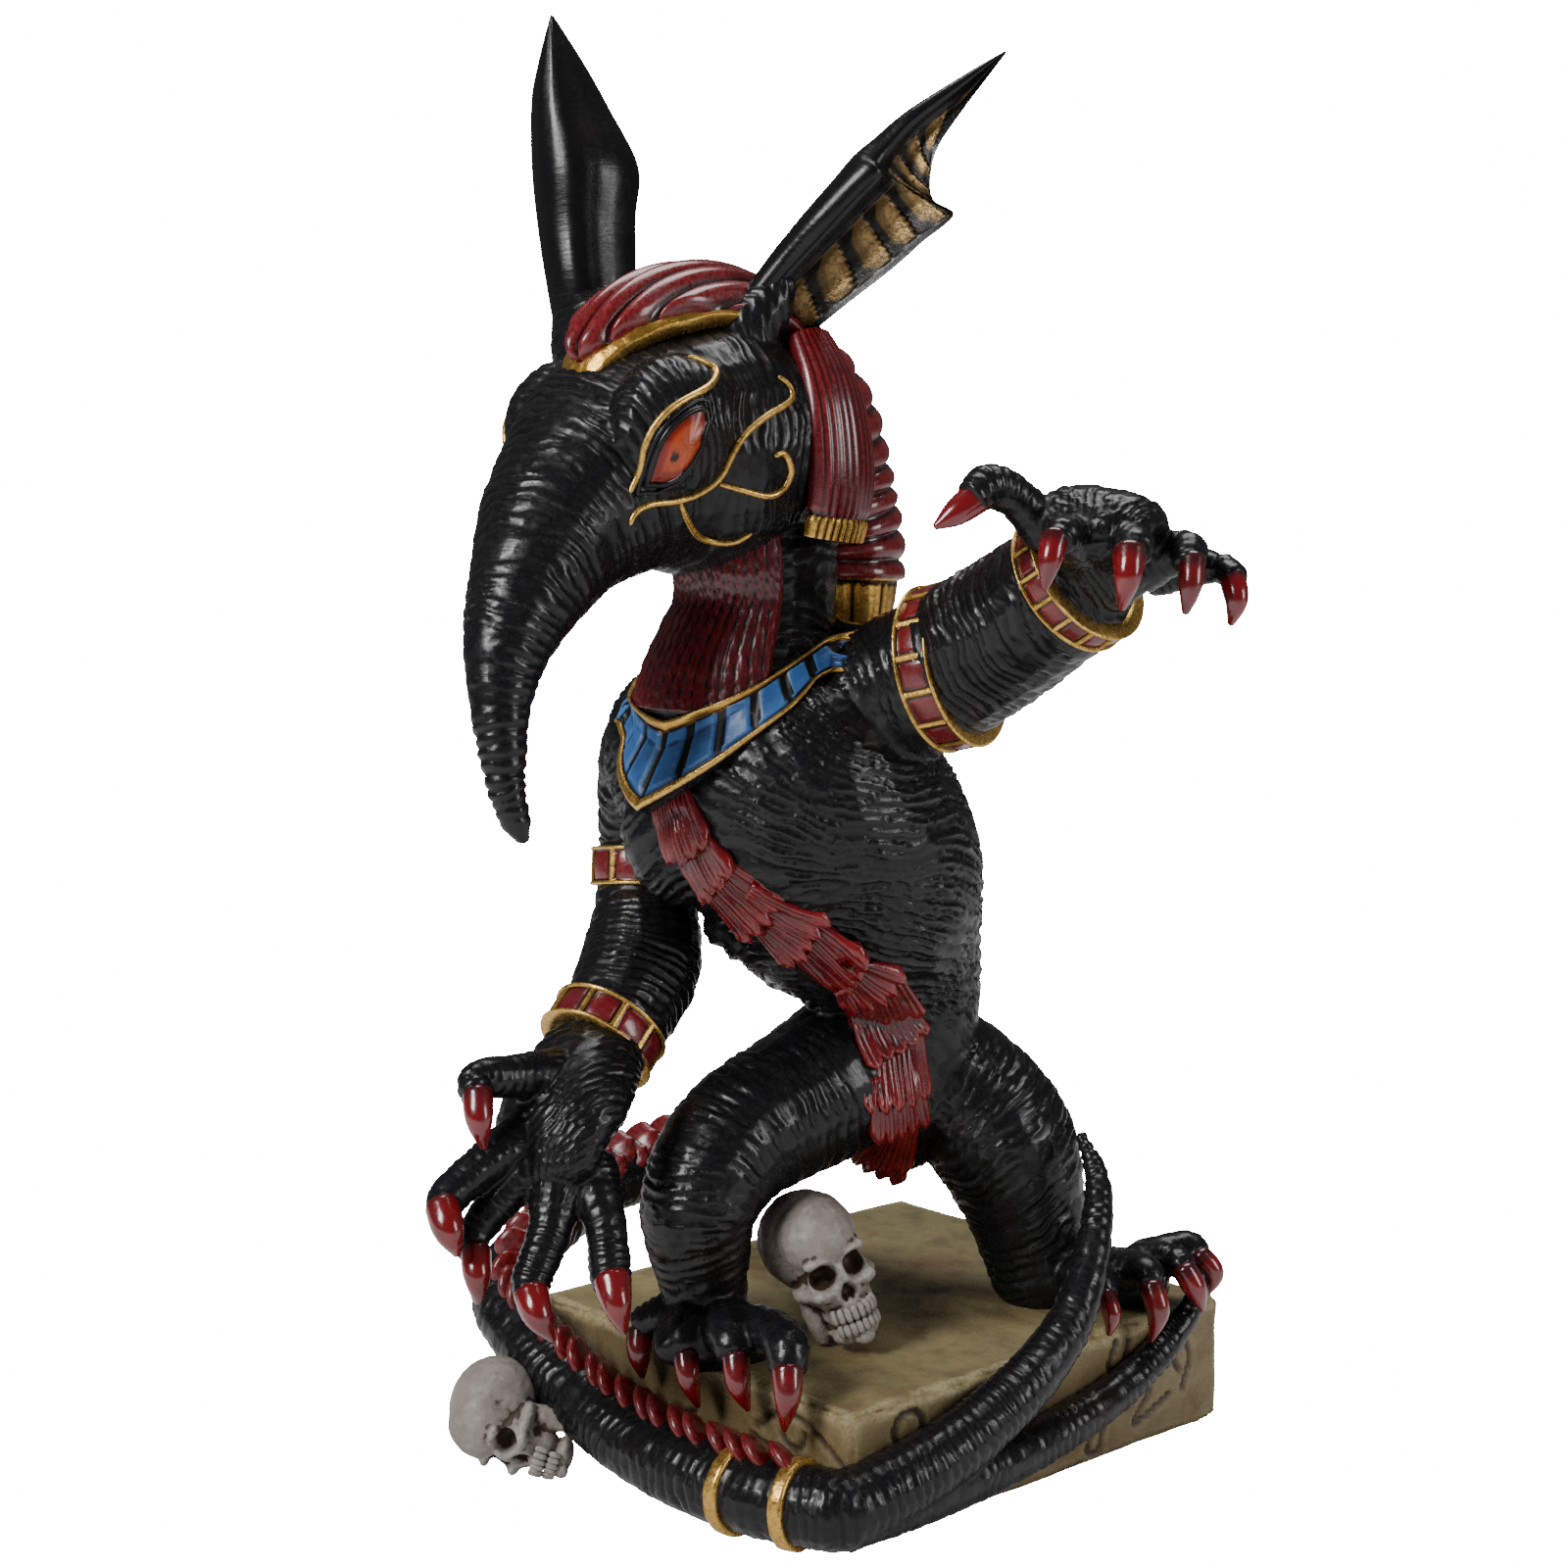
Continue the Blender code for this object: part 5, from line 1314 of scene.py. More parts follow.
def nape_lappet():
    """Stacked rolls down the nape, then a straight gold fringe."""
    stations = [(*head_at((f, 0, u)), w * MM, d * MM) for f, u, w, d in NAPE]
    samples = curve_through(stations, 16)
    rows, count = len(samples), 80
    go = np.linspace(0, 1, rows)[:, None]
    fringe = go > 1 - FRINGE_ROLLS / NAPE_ROLLS
    roll = np.sqrt(np.abs(np.sin(go * NAPE_ROLLS * math.pi)))
    angles = np.arange(count) * 2 * math.pi / count
    strands = 0.5 * np.abs(np.sin(angles * NAPE_STRANDS)) - 0.25
    strands = np.where(fringe, strands * MM, 0.5 * strands * MM)
    swell = np.where(fringe, 0.94, 0.92 + 0.13 * roll)
    wide = samples[:, 3:4] * swell + strands
    deep = samples[:, 4:5] * swell + strands
    made = lofted("nape_lappet", tube(samples[:, :3], wide, deep, turned(LEFT)))
    zoned(made, np.repeat(fringe[1:], count, 1))
    set_on_figure(made, CRIMSON_CLOTH, ANTIQUE_GOLD, reach=0.08, rounds=3)


cap()
headband()
side_lappet(1)
side_lappet(-1)
nape_lappet()


# Face
# Thin gold wires of paint on low relief round each eye, an orange eye with a dark pupil under a
# gloss, and a crimson feathered throat.

# Each line runs through points (forward, left, up) from the middle of the head.
FACE_LINES = [
    [(18.1, 16.3, 13.5), (14.8, 17.2, 12.9), (14.1, 18.3, 11.2), (18.1, 20.8, 8.9)]
    + [(24.1, 20.2, 6.2), (27.0, 19.1, 3.6), (28.2, 17.4, 0.0), (28.1, 15.8, -4.1)]
    + [(29.6, 14.9, -7.6)],
    [(2.2, 20.1, 10.6), (0.9, 21.3, 8.9), (1.8, 22.3, 6.8), (6.6, 22.5, 4.7)]
    + [(10.6, 21.4, 1.8), (13.1, 20.6, -1.8), (14.8, 19.2, -5.2), (17.3, 17.9, -7.7)]
    + [(21.0, 16.6, -9.1), (25.7, 15.8, -9.4), (28.6, 14.9, -10.9), (29.2, 14.6, -12.6)],
    [(14.0, 18.8, -6.1), (9.6, 20.4, -7.1), (5.8, 21.6, -8.2), (3.3, 22.4, -7.1)]
    + [(2.3, 23.0, -4.1), (4.0, 23.7, -1.4), (6.0, 23.3, -1.7)],
    [(20.2, 16.6, -9.4), (17.5, 15.5, -12.4), (12.7, 13.3, -15.4), (7.9, 14.9, -15.5)]
    + [(5.9, 17.3, -13.8)],
]
LINE_GIRTH = 0.62 * MM
EYE_RIM = [
    (26.2, 16.2, -5.2),
    (26.3, 19.2, 0.2),
    (24.4, 20.8, 3.1),
    (21.0, 21.2, 4.8),
    (20.0, 21.7, 3.3),
    (20.5, 21.5, 1.3),
    (21.4, 20.7, -1.8),
    (23.1, 19.1, -4.7),
    (24.4, 17.5, -5.5),
]
EYE_SPREAD = 1.16
EYE_RINGS = 34
DOME_RISE = 1.0 * MM
DOME_LIFT = 0.3 * MM
DOME_CLEAR = 0.25 * MM
DOME_BACK = 0.8 * MM
PUPIL = (24.9, 19.9, -2.1)
PUPIL_EDGE = (0.6 * MM, 0.85 * MM)
LID_GIRTH = 0.55 * MM
LID_SPREAD = 1.24
# Up from the middle of the head, then the neck's forward place, left place and radius.
THROAT = [
    (-13, -7.5, 4.6, 12.8),
    (-20.5, -8.0, 4.6, 13.7),
    (-27, -8.5, 4.0, 13.9),
    (-37, -6.4, 3.4, 16.3),
    (-44, -5.4, 2.8, 17.6),
]
# Degrees to each side of the front, the number of columns, and the columns between two rays.
THROAT_REACH = 68
THROAT_COLUMNS = 118
THROAT_STRIDE = 4
THROAT_TIERS = 12
# Below this height the plumage spreads out over the breast, no farther than the limit.
THROAT_BELOW = -26.0
THROAT_LIMIT = 20.0 * MM


def laid(tree, points, proud):
    """Points moved onto a surface and then proud of it."""
    moved = []
    for point in points:
        spot, normal, _, _ = tree.find_nearest(Vector(point))
        moved.append(np.array(spot) + np.array(normal) * proud)
    return np.array(moved)


def softened(points, times=3):
    """A line with its small kinks taken out, its ends kept."""
    for _ in range(times):
        points[1:-1] = 0.5 * points[1:-1] + 0.25 * (points[:-2] + points[2:])
    return points


head_surface = surface_of(head)


def mirrored(points, side):
    """Head points on the left side for 1, and their mirror images for -1."""
    return np.asarray(points, float) * (1, side, 1)


def face_lines():
    """Every line on both cheeks, tapering at its ends."""
    shapes = []
    for side in (1, -1):
        for line in FACE_LINES:
            points = head_at(mirrored(curve_through(line, 7), side))
            centres = softened(laid(head_surface, points, 0.12 * MM), 6)
            go = np.linspace(0, 1, len(centres))
            girth = LINE_GIRTH * (0.45 + 0.55 * np.sin(go * math.pi) ** 0.35)
            shapes.append(sweep(centres, girth, girth, turned(LEFT * side), 10))
    set_on_figure(mesh_piece("face_lines", *together(shapes)), ANTIQUE_GOLD)


def eye_finish():
    """Orange glaze, redder at the rim, with a dark pupil under a clear coat."""
    made = painted(
        "eye_glaze",
        coat=(0.40, 0.062, 0.015),
        wash_and_shade=(0.17, 0.007, 0.004),
        brush_and_highlight=(0.6, 0.14, 0.03),
        shares=(0.8, 0.3, 0.5),
        rough=(0.25, 0.35),
        bump=0.03,
        coat_weight=0.2,
        gloss=0.3,
    )
    tree = made.node_tree
    shader = tree.nodes["Principled BSDF"]
    base = shader.inputs["Base Color"].links[0].from_socket
    dark = mixed(tree, attribute(tree, "pupil"), base, (0.004, 0.003, 0.003))
    tree.links.new(dark, shader.inputs["Base Color"])
    return made


def over_skin(points, outward):
    """Lifts points, in place, where the skin would show through them."""
    for point in points:
        start = Vector(point + outward * 4 * MM)
        spot, _, _, _ = head_surface.ray_cast(start, Vector(-outward), 6 * MM)
        if spot is not None:
            point += outward * max(0.0, (np.array(spot) - point) @ outward + DOME_CLEAR)


def eye_dome(side, rim, middle, glaze):
    """A low dome over the almond of one eye, with its pupil. Also gives the way out of the head."""
    spot, normal, _, _ = head_surface.find_nearest(Vector(middle))
    spot, outward = np.array(spot), np.array(normal)
    share = np.linspace(0.04, 1, EYE_RINGS)
    step = share[:, None, None]
    points = spot + (rim[None] - spot) * step + outward * (DOME_RISE * (1 - step**2) + DOME_LIFT)
    over_skin(points.reshape(-1, 3), outward)
    name = "eye_left" if side > 0 else "eye_right"
    made = lofted(name, np.concatenate([points, points[::-1] - outward * DOME_BACK]))
    away = places_of(made.data) - head_at(mirrored(PUPIL, side))
    gap = np.linalg.norm(away - outward * (away @ outward)[:, None], axis=1)
    store(made.data, "pupil", 1 - smoothstep(gap, *PUPIL_EDGE))
    there_and_back = np.repeat(np.concatenate([share, share[::-1]]), len(rim))
    store(made.data, "ridge", 0.5 - 0.4 * smoothstep(there_and_back, 0.45, 0.95))
    set_on_figure(made, glaze)
    return outward


def eyes():
    """A dome in each almond, with one lid on its edge and a thinner fold outside it."""
    glaze = eye_finish()
    lids = []
    for side in (1, -1):
        rim = curve_through(EYE_RIM + EYE_RIM[:1], 5)[:-1]
        rim = laid(head_surface, head_at(mirrored(rim, side)), 0.0)
        middle = rim.mean(0)
        rim = laid(head_surface, middle + (rim - middle) * EYE_SPREAD, 0.0)
        outward = eye_dome(side, rim, middle, glaze)
        closed = np.vstack([rim, rim[:1]])
        lid = softened(closed + outward * 0.25 * MM, 2)
        girth = np.full(len(lid), LID_GIRTH)
        lids.append(sweep(lid, girth, girth, turned(LEFT * side), 10))
        fold = laid(head_surface, middle + (closed - middle) * LID_SPREAD, 0.1 * MM)
        lids.append(sweep(softened(fold, 2), girth * 0.7, girth * 0.7, turned(LEFT * side), 10))
    made = mesh_piece("eyelids", *together(lids))
    store(made.data, "along", np.zeros(len(made.data.vertices)))
    set_on_figure(made, SKIN)


CRIMSON_PLUMES = painted(
    "crimson_plumes",
    coat=(0.105, 0.0026, 0.0050),
    wash_and_shade=(0.012, 0.001, 0.0015),
    brush_and_highlight=(0.22, 0.016, 0.017),
    shares=(1.0, 0.55, 0.5),
    rough=(0.24, 0.4),
    bump=0.2,
    coat_weight=0.3,
)


# A ray starts this much past the last skin that it met, in metres.
RAY_GAP = 0.00001


def outermost(tree, start, outward, reach):
    """How far along a direction the outermost skin lies, within reach."""
    farthest = 0.0
    while True:
        begin = Vector(start + outward * farthest)
        spot, _, _, far = tree.ray_cast(begin, Vector(outward), reach - farthest)
        if spot is None:
            return farthest
        farthest += far + RAY_GAP


def throat():
    """Crimson plumage over the front of the neck, in short strokes that fan out to the breast."""
    samples = curve_through(THROAT, 13)
    angles = np.linspace(-THROAT_REACH, THROAT_REACH, THROAT_COLUMNS)
    rows = len(samples)
    go = np.linspace(0, 1, rows)[:, None]
    turn = np.radians(angles)[None] * (1 - 0.10 * go)
    skin = surface_of(head, body)
    middle = np.stack([samples[:, 1], samples[:, 2], samples[:, 0]], -1)
    radius = np.repeat(samples[:, 3:4], len(angles), 1)
    known = np.arange(0, len(angles), THROAT_STRIDE)
    for row in range(rows):
        if samples[row, 0] > THROAT_BELOW:
            continue
        start = head_at(middle[row])
        hits = []
        for k in known:
            ahead = np.array([math.cos(turn[row, k]), math.sin(turn[row, k]), 0])
            ahead = unit_rows(head_at(middle[row] + ahead) - start)
            hits.append(outermost(skin, start, ahead, THROAT_LIMIT) / MM)
        radius[row] = np.maximum(radius[row], np.interp(np.arange(len(angles)), known, hits))
    for _ in range(3):
        radius[1:-1] = 0.5 * radius[1:-1] + 0.25 * (radius[:-2] + radius[2:])
        radius[:, 1:-1] = 0.5 * radius[:, 1:-1] + 0.25 * (radius[:, :-2] + radius[:, 2:])
    strokes = np.abs(np.sin(angles[None] * 0.42 + 0.9 * np.sin(go * 9 + angles[None] * 0.05)))
    ragged = 0.5 * np.sin(angles[None] * 0.84)
    tiers = (go * THROAT_TIERS + ragged + 0.3 * np.sin(angles[None] * 0.13)) % 1.0
    edge = np.clip((THROAT_REACH - np.abs(angles)[None]) / 5, 0, 1)
    proud = (0.45 + 0.38 * np.sqrt(strokes) + 0.34 * tiers) * np.sqrt(edge) - 0.5 * (1 - edge)
    radius = radius + proud
    forward = samples[:, 1:2] + radius * np.cos(turn)
    left = samples[:, 2:3] + radius * np.sin(turn)
    outer = np.stack([forward, left, np.broadcast_to(samples[:, :1], radius.shape)], -1)
    inner = middle[:, None] + (outer - middle[:, None]) * 0.9
    rings = head_at(np.concatenate([outer, inner[:, ::-1]], 1))
    made = lofted("throat_plumage", rings)
    set_on_figure(made, CRIMSON_PLUMES, reach=0.13, rounds=2)
    return made


face_lines()
eyes()
plumage = throat()


# Collar
# A broad collar cast with the breast: blue enamel plates on a black ground, between two gold
# rims, and drawn down to a point in front.

COLLAR_CENTRE = np.array([-24, -14.5, 0.0])
# Distance from the axis and height of its two edges at the sides, and how much lower in front.
COLLAR_INNER = (18.1, 115.7)
COLLAR_OUTER = (20.1, 111.1)
COLLAR_TILT = 7.5
# How much higher it lies on the left and on the right shoulder.
LEFT_LIFT = 4.5
RIGHT_LIFT = 2.0
# How far the point in front stands out and hangs down, and how far round it reaches, in radians.
POINT_OUT = 7.3
POINT_DOWN = 10
POINT_TURN = 1.5
COLLAR_PLATES = 21
PLATE_STEPS = 14
PLATE_RISE = 0.5
RIM_RISE = 0.8
# The share of the collar's breadth that each rim takes.
RIM_SHARE = 0.14
# Where rays lay it on the skin: how far from the axis at most, how far inside its own section,
# how far outside it, and the least distance. The columns between those are worked out from them.
COLLAR_REACH = 27.0
COLLAR_HOVER = 2.5
COLLAR_SLACK = 2.4
COLLAR_LEAST = 12.0
LAID_COLUMNS = [0, 6, 12, 18, 26, 33]
# Forward and down, from the collar's outer and inner edges to the corners of its sunk back.
OUTER_FOOT = (2.6, 0.9)
INNER_FOOT = (2.6, 1.2)

BLUE_ENAMEL = painted(
    "blue_enamel",
    coat=(0.030, 0.115, 0.33),
    wash_and_shade=(0.008, 0.025, 0.09),
    brush_and_highlight=(0.09, 0.22, 0.46),
    shares=(0.9, 0.5, 0.5),
    rough=(0.3, 0.45),
    bump=0.2,
)


def collar():
    """One strip round the neck: rims, plates and the black ground between the plates."""
    count = COLLAR_PLATES * PLATE_STEPS
    turn = 2 * math.pi * np.arange(count) / count
    front = np.cos(turn)
    left, right = np.maximum(0, np.sin(turn)), np.maximum(0, -np.sin(turn))
    raised = LEFT_LIFT * left + RIGHT_LIFT * right
    apart = np.abs(np.angle(np.exp(1j * turn)))
    pointed = np.maximum(0, 1 - apart / POINT_TURN) ** 1.2
    inner_up = COLLAR_INNER[1] - COLLAR_TILT * front + raised
    inner = np.stack([np.full(count, COLLAR_INNER[0]), inner_up], -1)
    outer_up = COLLAR_OUTER[1] - COLLAR_TILT * front + raised - POINT_DOWN * pointed
    outer = np.stack([COLLAR_OUTER[0] + POINT_OUT * pointed, outer_up], -1)
    rim_shares = np.linspace(0, RIM_SHARE - 0.01, 7)
    between = np.linspace(RIM_SHARE + 0.02, 0.98 - RIM_SHARE, 20)
    share = np.concatenate([rim_shares, between, (1 - rim_shares)[::-1]])
    rim = (share < RIM_SHARE) | (share > 1 - RIM_SHARE)
    place = np.where(share < 0.5, share, 1 - share) / rim_shares[-1]
    rim_rise = RIM_RISE * np.sqrt(np.clip(1 - (2 * place - 1) ** 2, 0, 1))
    cell = (np.arange(count) % PLATE_STEPS + 0.5) / PLATE_STEPS
    gap = 0.15 - 0.10 * share[None]
    from_gap = np.minimum(cell, 1 - cell)[:, None] - gap
    from_end = np.minimum(share - RIM_SHARE, 1 - RIM_SHARE - share)[None] * 2.2
    plate = smoothstep(np.minimum(from_gap, from_end), 0.0, 0.09)
    rise = np.where(rim[None], rim_rise[None], PLATE_RISE * plate)
    slope = outer - inner
    square = np.stack([-slope[:, 1], slope[:, 0]], -1)
    square /= np.linalg.norm(square, axis=1)[:, None]
    face = inner[:, None] + slope[:, None] * share[None, :, None]
    out = FRONT * np.cos(turn)[:, None] + LEFT * np.sin(turn)[:, None]
    skin = surface_of(head, body, plumage)
    for i in range(count):
        for k in LAID_COLUMNS:
            reach = min(face[i, k, 0] + COLLAR_SLACK, COLLAR_REACH)
            axis_point = at(COLLAR_CENTRE + UP * face[i, k, 1])
            hit = outermost(skin, axis_point, turned(out[i]), reach * MM) / MM
            face[i, k, 0] = max(hit, face[i, k, 0] - COLLAR_HOVER, COLLAR_LEAST)
        face[i, :, 0] = np.interp(np.arange(len(share)), LAID_COLUMNS, face[i, LAID_COLUMNS, 0])
    laid_r = face[..., 0]
    for _ in range(24):
        laid_r = 0.5 * laid_r + 0.25 * (np.roll(laid_r, 1, 0) + np.roll(laid_r, -1, 0))
    face[..., 0] = np.maximum(laid_r, face[..., 0] - 0.7) + 0.5
    face = face + square[:, None] * rise[..., None]
    foot = np.stack([face[:, -1] - OUTER_FOOT, face[:, 0] - INNER_FOOT], 1)
    section = np.concatenate([face, foot], 1)
    rings = COLLAR_CENTRE + out[:, None] * section[..., :1] + UP * section[..., 1:]
    made = lofted("collar", at(rings), loop=True)
    kinds = np.zeros((count, len(share) + 2), int)
    kinds[:, : len(share)] = np.where(rim[None], 0, np.where(plate > 0.3, 1, 2))
    kinds[:, len(share) - 1 :] = 2
    zoned(made, kinds)
    store(made.data, "along", np.zeros(len(made.data.vertices)))
    set_on_figure(made, ANTIQUE_GOLD, BLUE_ENAMEL, SKIN, reach=0.09, rounds=2)


collar()


# Armlets
# Four raised cuffs cast with the arms: gold rims and bars round square crimson stones of paint.

# Centre, direction of the axis, girth and width of each cuff.
CUFFS = {
    "near_armlet": ((10.5, -26, 117.3), (0.80, -0.48, 0.22), 13.2, 6.4),
    "near_wristband": ((29, -48.5, 133.3), (0.62, -0.62, 0.50), 11.2, 4.6),
    "far_armlet": ((-42.3, 3.6, 78.5), (-0.02, -0.2, -1.0), 9.2, 7.0),
    "far_wristband": ((-49, -19, 52.3), (-0.42, -0.62, -0.62), 9.6, 6.4),
}
CUFF_PROUD = 1.2
# Place across a cuff in half widths, and how far it stands out, of the whole.
CUFF_PROFILE = [(-1, -2), (-1, 0.6), (-0.96, 0.95), (-0.88, 1.0), (-0.80, 0.8), (-0.78, 0.35)]
CUFF_PROFILE += [(-0.66, 0.5), (-0.3, 0.62), (0, 0.66), (0.3, 0.62), (0.66, 0.5)]
CUFF_PROFILE += [(0.78, 0.35), (0.80, 0.8), (0.88, 1.0), (0.96, 0.95), (1, 0.6), (1, -2)]
STONE_STEPS = 14
BAR_STEPS = 2
BAR_PROUD = 0.85
CORNER_PROUD = 0.36

CRIMSON_STONE = painted(
    "crimson_stone",
    coat=(0.135, 0.004, 0.008),
    wash_and_shade=(0.020, 0.001, 0.002),
    brush_and_highlight=(0.30, 0.035, 0.035),
    shares=(1.0, 0.3, 0.5),
    rough=(0.2, 0.36),
    bump=0.15,
    coat_weight=0.4,
)


def cuff(name):
    """A round of stones between two rims, with a gold bar between each two stones."""
    centre, axis, girth, width = CUFFS[name]
    stones = round(2 * math.pi * girth / (width * 0.94))
    count = stones * STONE_STEPS
    profile = np.array(CUFF_PROFILE)
    along = profile[:, 0] * width / 2
    out = np.repeat(profile[None, :, 1], count, 0)
    panel = np.abs(profile[:, 0]) < 0.7
    step = np.arange(count) % STONE_STEPS
    bar = (step < BAR_STEPS)[:, None] & (np.abs(profile[:, 0]) < 0.79)[None]
    out = np.where(bar, BAR_PROUD, out)
    corner = (step == BAR_STEPS) | (step == STONE_STEPS - 1)
    out = np.where(corner[:, None] & panel[None], CORNER_PROUD, out)
    heading = unit_rows(turned(axis))
    x_axis = unit_rows(turned(LEFT) - heading * (heading @ turned(LEFT)))
    y_axis = np.cross(heading, x_axis)
    turn = 2 * math.pi * np.arange(count) / count
    outward = x_axis * np.cos(turn)[:, None] + y_axis * np.sin(turn)[:, None]
    radius = (girth + out * CUFF_PROUD) * MM
    rings = at(centre) + heading * (along * MM)[None, :, None] + outward[:, None] * radius[..., None]
    made = lofted(name, rings, loop=True)
    stone = np.zeros((count, len(profile)), int)
    stone[:, 5:11] = ((step >= BAR_STEPS) & (step < STONE_STEPS - 1))[:, None]
    zoned(made, stone)
    set_on_figure(made, ANTIQUE_GOLD, CRIMSON_STONE, reach=0.12, rounds=2)


for name in CUFFS:
    cuff(name)


# Feather strip
# Overlapping tiers of crimson feathers down the breast and belly, cast with the skin.

# Across and up, along the middle of the strip.
FEATHERS = [(-37.5, 97), (-35.5, 90), (-29, 82), (-20.3, 75), (-11, 69.5), (-4, 64)]
FEATHERS += [(0, 57), (1.8, 49), (2, 41), (1, 33), (-1.5, 26)]
FEATHER_TIERS = 12
FEATHER_HALF = 6.9
FEATHERS_PER_TIER = 5
BARBS_PER_FEATHER = 2.5
TIER_OVERLAP = 1.5
TIER_LIFT = 2.6
DRAPE_REACH = 4 * MM

CRIMSON_FEATHER = painted(
    "crimson_feather",
    coat=(0.135, 0.003, 0.0060),
    wash_and_shade=(0.010, 0.001, 0.0015),
    brush_and_highlight=(0.28, 0.018, 0.019),
    shares=(0.8, 0.6, 0.25),
    rough=(0.18, 0.32),
    bump=0.2,
    coat_weight=0.25,
)
body_surface = surface_of(body)


def on_breast(across, up):
    """The place and the outward normal of the breast there, seen from the front."""
    start, ahead = Vector(at((across, -90, up))), Vector(turned(AWAY))
    spot, normal, _, _ = body_surface.ray_cast(start, ahead)
    if spot is None:
        spot, normal, _, _ = body_surface.find_nearest(Vector(at((across, -12, up))))
    return np.array(spot), np.array(normal)


def feather_tier(root, root_normal, edge, edge_normal, seed):
    """One tier: ridged feathers side by side, their free ends lifted and pointed."""
    chance = np.random.default_rng(seed)
    columns, rows = 56, 12
    t = np.linspace(-1, 1, columns)
    down = unit_rows(edge - root)
    high = unit_rows(np.cross(down, root_normal))
    low = unit_rows(np.cross(down, edge_normal))
    feather = (t + 1) / 2 * FEATHERS_PER_TIER
    own = np.minimum(feather.astype(int), FEATHERS_PER_TIER - 1)
    tips = chance.uniform(-0.4, 0.6, FEATHERS_PER_TIER)[own]
    inside = feather - own
    reach = 1.9 * (1 - np.abs(2 * inside - 1) ** 1.6) + tips - 1.0 * t**2
    barbs = np.abs(np.sin(feather * BARBS_PER_FEATHER * math.pi)) ** 0.7
    quill = np.exp(-(((inside - 0.5) / 0.12) ** 2))
    seam = np.exp(-((np.minimum(inside, 1 - inside) / 0.07) ** 2))
    share = np.linspace(0, 1, rows)[:, None]
    crown = 1 - 0.5 * t**2
    top = root + high * (FEATHER_HALF * 0.8 * t * MM)[:, None]
    end = edge + low * (FEATHER_HALF * t * MM)[:, None] + down * (reach * MM)[:, None]
    flat = top + (end - top) * share[..., None]
    normal = unit_rows(root_normal * (1 - share[..., None]) + edge_normal * share[..., None])
    rise = (0.3 + TIER_LIFT * share**1.5) * crown + 0.30 * barbs
    rise = rise + 0.25 * quill * share - 0.5 * seam * share
    under = (0.1 + 1.2 * share**2) * crown - 0.6
    pulls = np.empty(flat.shape[:2])
    for i in range(rows):
        for j in range(columns):
            spot, _, _, _ = body_surface.find_nearest(Vector(flat[i, j]))
            pull = (np.array(spot) - flat[i, j]) @ normal[i, 0]
            pulls[i, j] = np.clip(pull, -DRAPE_REACH, DRAPE_REACH) * 0.8
    for _ in range(10):
        pulls[:, 1:-1] = 0.5 * pulls[:, 1:-1] + 0.25 * (pulls[:, :-2] + pulls[:, 2:])
    draped = flat + normal * pulls[..., None]
    upper = draped + normal * (rise * MM)[..., None]
    lower = draped + normal * (under * MM)[..., None]
    rings = np.concatenate([upper, lower[::-1]], 0).transpose(1, 0, 2)
    return rings.reshape(-1, 3), loft_faces(*rings.shape[:2])


def feather_strip():
    """Every tier from the collar's point to between the legs."""
    line = curve_through(FEATHERS, 6)
    shapes = []
    for tier in range(FEATHER_TIERS):
        ends = []
        for place in (tier, tier + TIER_OVERLAP):
            nearest = round(place * (len(line) - 1) / FEATHER_TIERS)
            ends += on_breast(*line[min(nearest, len(line) - 1)])
        shapes.append(feather_tier(*ends, 40 + tier))
    set_on_figure(mesh_piece("feather_strip", *together(shapes)), CRIMSON_FEATHER, reach=0.20)


feather_strip()


# Tail crest and rings
# A row of fleshy crimson gills along the tail's inner side, cast with it, and two gold rings.

GILL_PITCH = 4.9 * MM
GILL_START = 14 * MM
GILL_RISE = 0.74
GILL_RIB = 0.22 * MM
# Size and way to the side of the large lobes and of the small ones.
GILL_KINDS = ((1.0, 0.42), (0.8, 0.05))
RING_SHARES = (0.875, 0.945)
RING_WIDTH = 2.6
RING_RISE = 0.75
# Place across a ring in half widths, and how far it stands out, of the whole.
RING_PROFILE = [(-1, -1.5), (-1, 0.5), (-0.85, 0.9), (-0.4, 1.0)]
RING_PROFILE += [(0.4, 1.0), (0.85, 0.9), (1, 0.5), (1, -1.5)]


def gills():
    """Ribbed lobes leaning along the tail, a small one behind each large one."""
    centres, girths, _ = tail_lines[0]
    tangents = tangents_of(centres)
    walked = walked_along(centres)
    shapes = []
    count = int((walked[-1] * 0.97 - GILL_START) / GILL_PITCH)
    for i in range(2 * count):
        size, side = GILL_KINDS[i % 2]
        k = np.searchsorted(walked, GILL_START + i * GILL_PITCH / 2)
        middle, tangent, girth = centres[k], tangents[k], girths[k]
        level = unit_rows(np.array([-middle[0], -middle[1], 0]))
        inward = unit_rows(UP + level)
        inward = unit_rows(inward - tangent * (inward @ tangent))
        across = np.cross(tangent, inward)
        spot = middle + inward * girth * 0.72 + across * girth * side
        lean = unit_rows(inward - tangent * 1.3 + across * 0.25)
        axes = [np.cross(across, lean), across, lean]
        radii = np.array([GILL_PITCH * 0.34, girth * 0.72, girth * GILL_RISE]) * size
        points, faces = ball(spot, radii, axes, 22, 12)
        local = (points - spot) @ np.array(axes).T / radii
        ribs = GILL_RIB * np.sin(local[:, 1] * 9)
        points = points + unit_rows(points - spot) * ribs[:, None]
        shapes.append((points, faces))
    set_on_figure(mesh_piece("tail_gills", *together(shapes)), CRIMSON_PLUMES, reach=0.12)


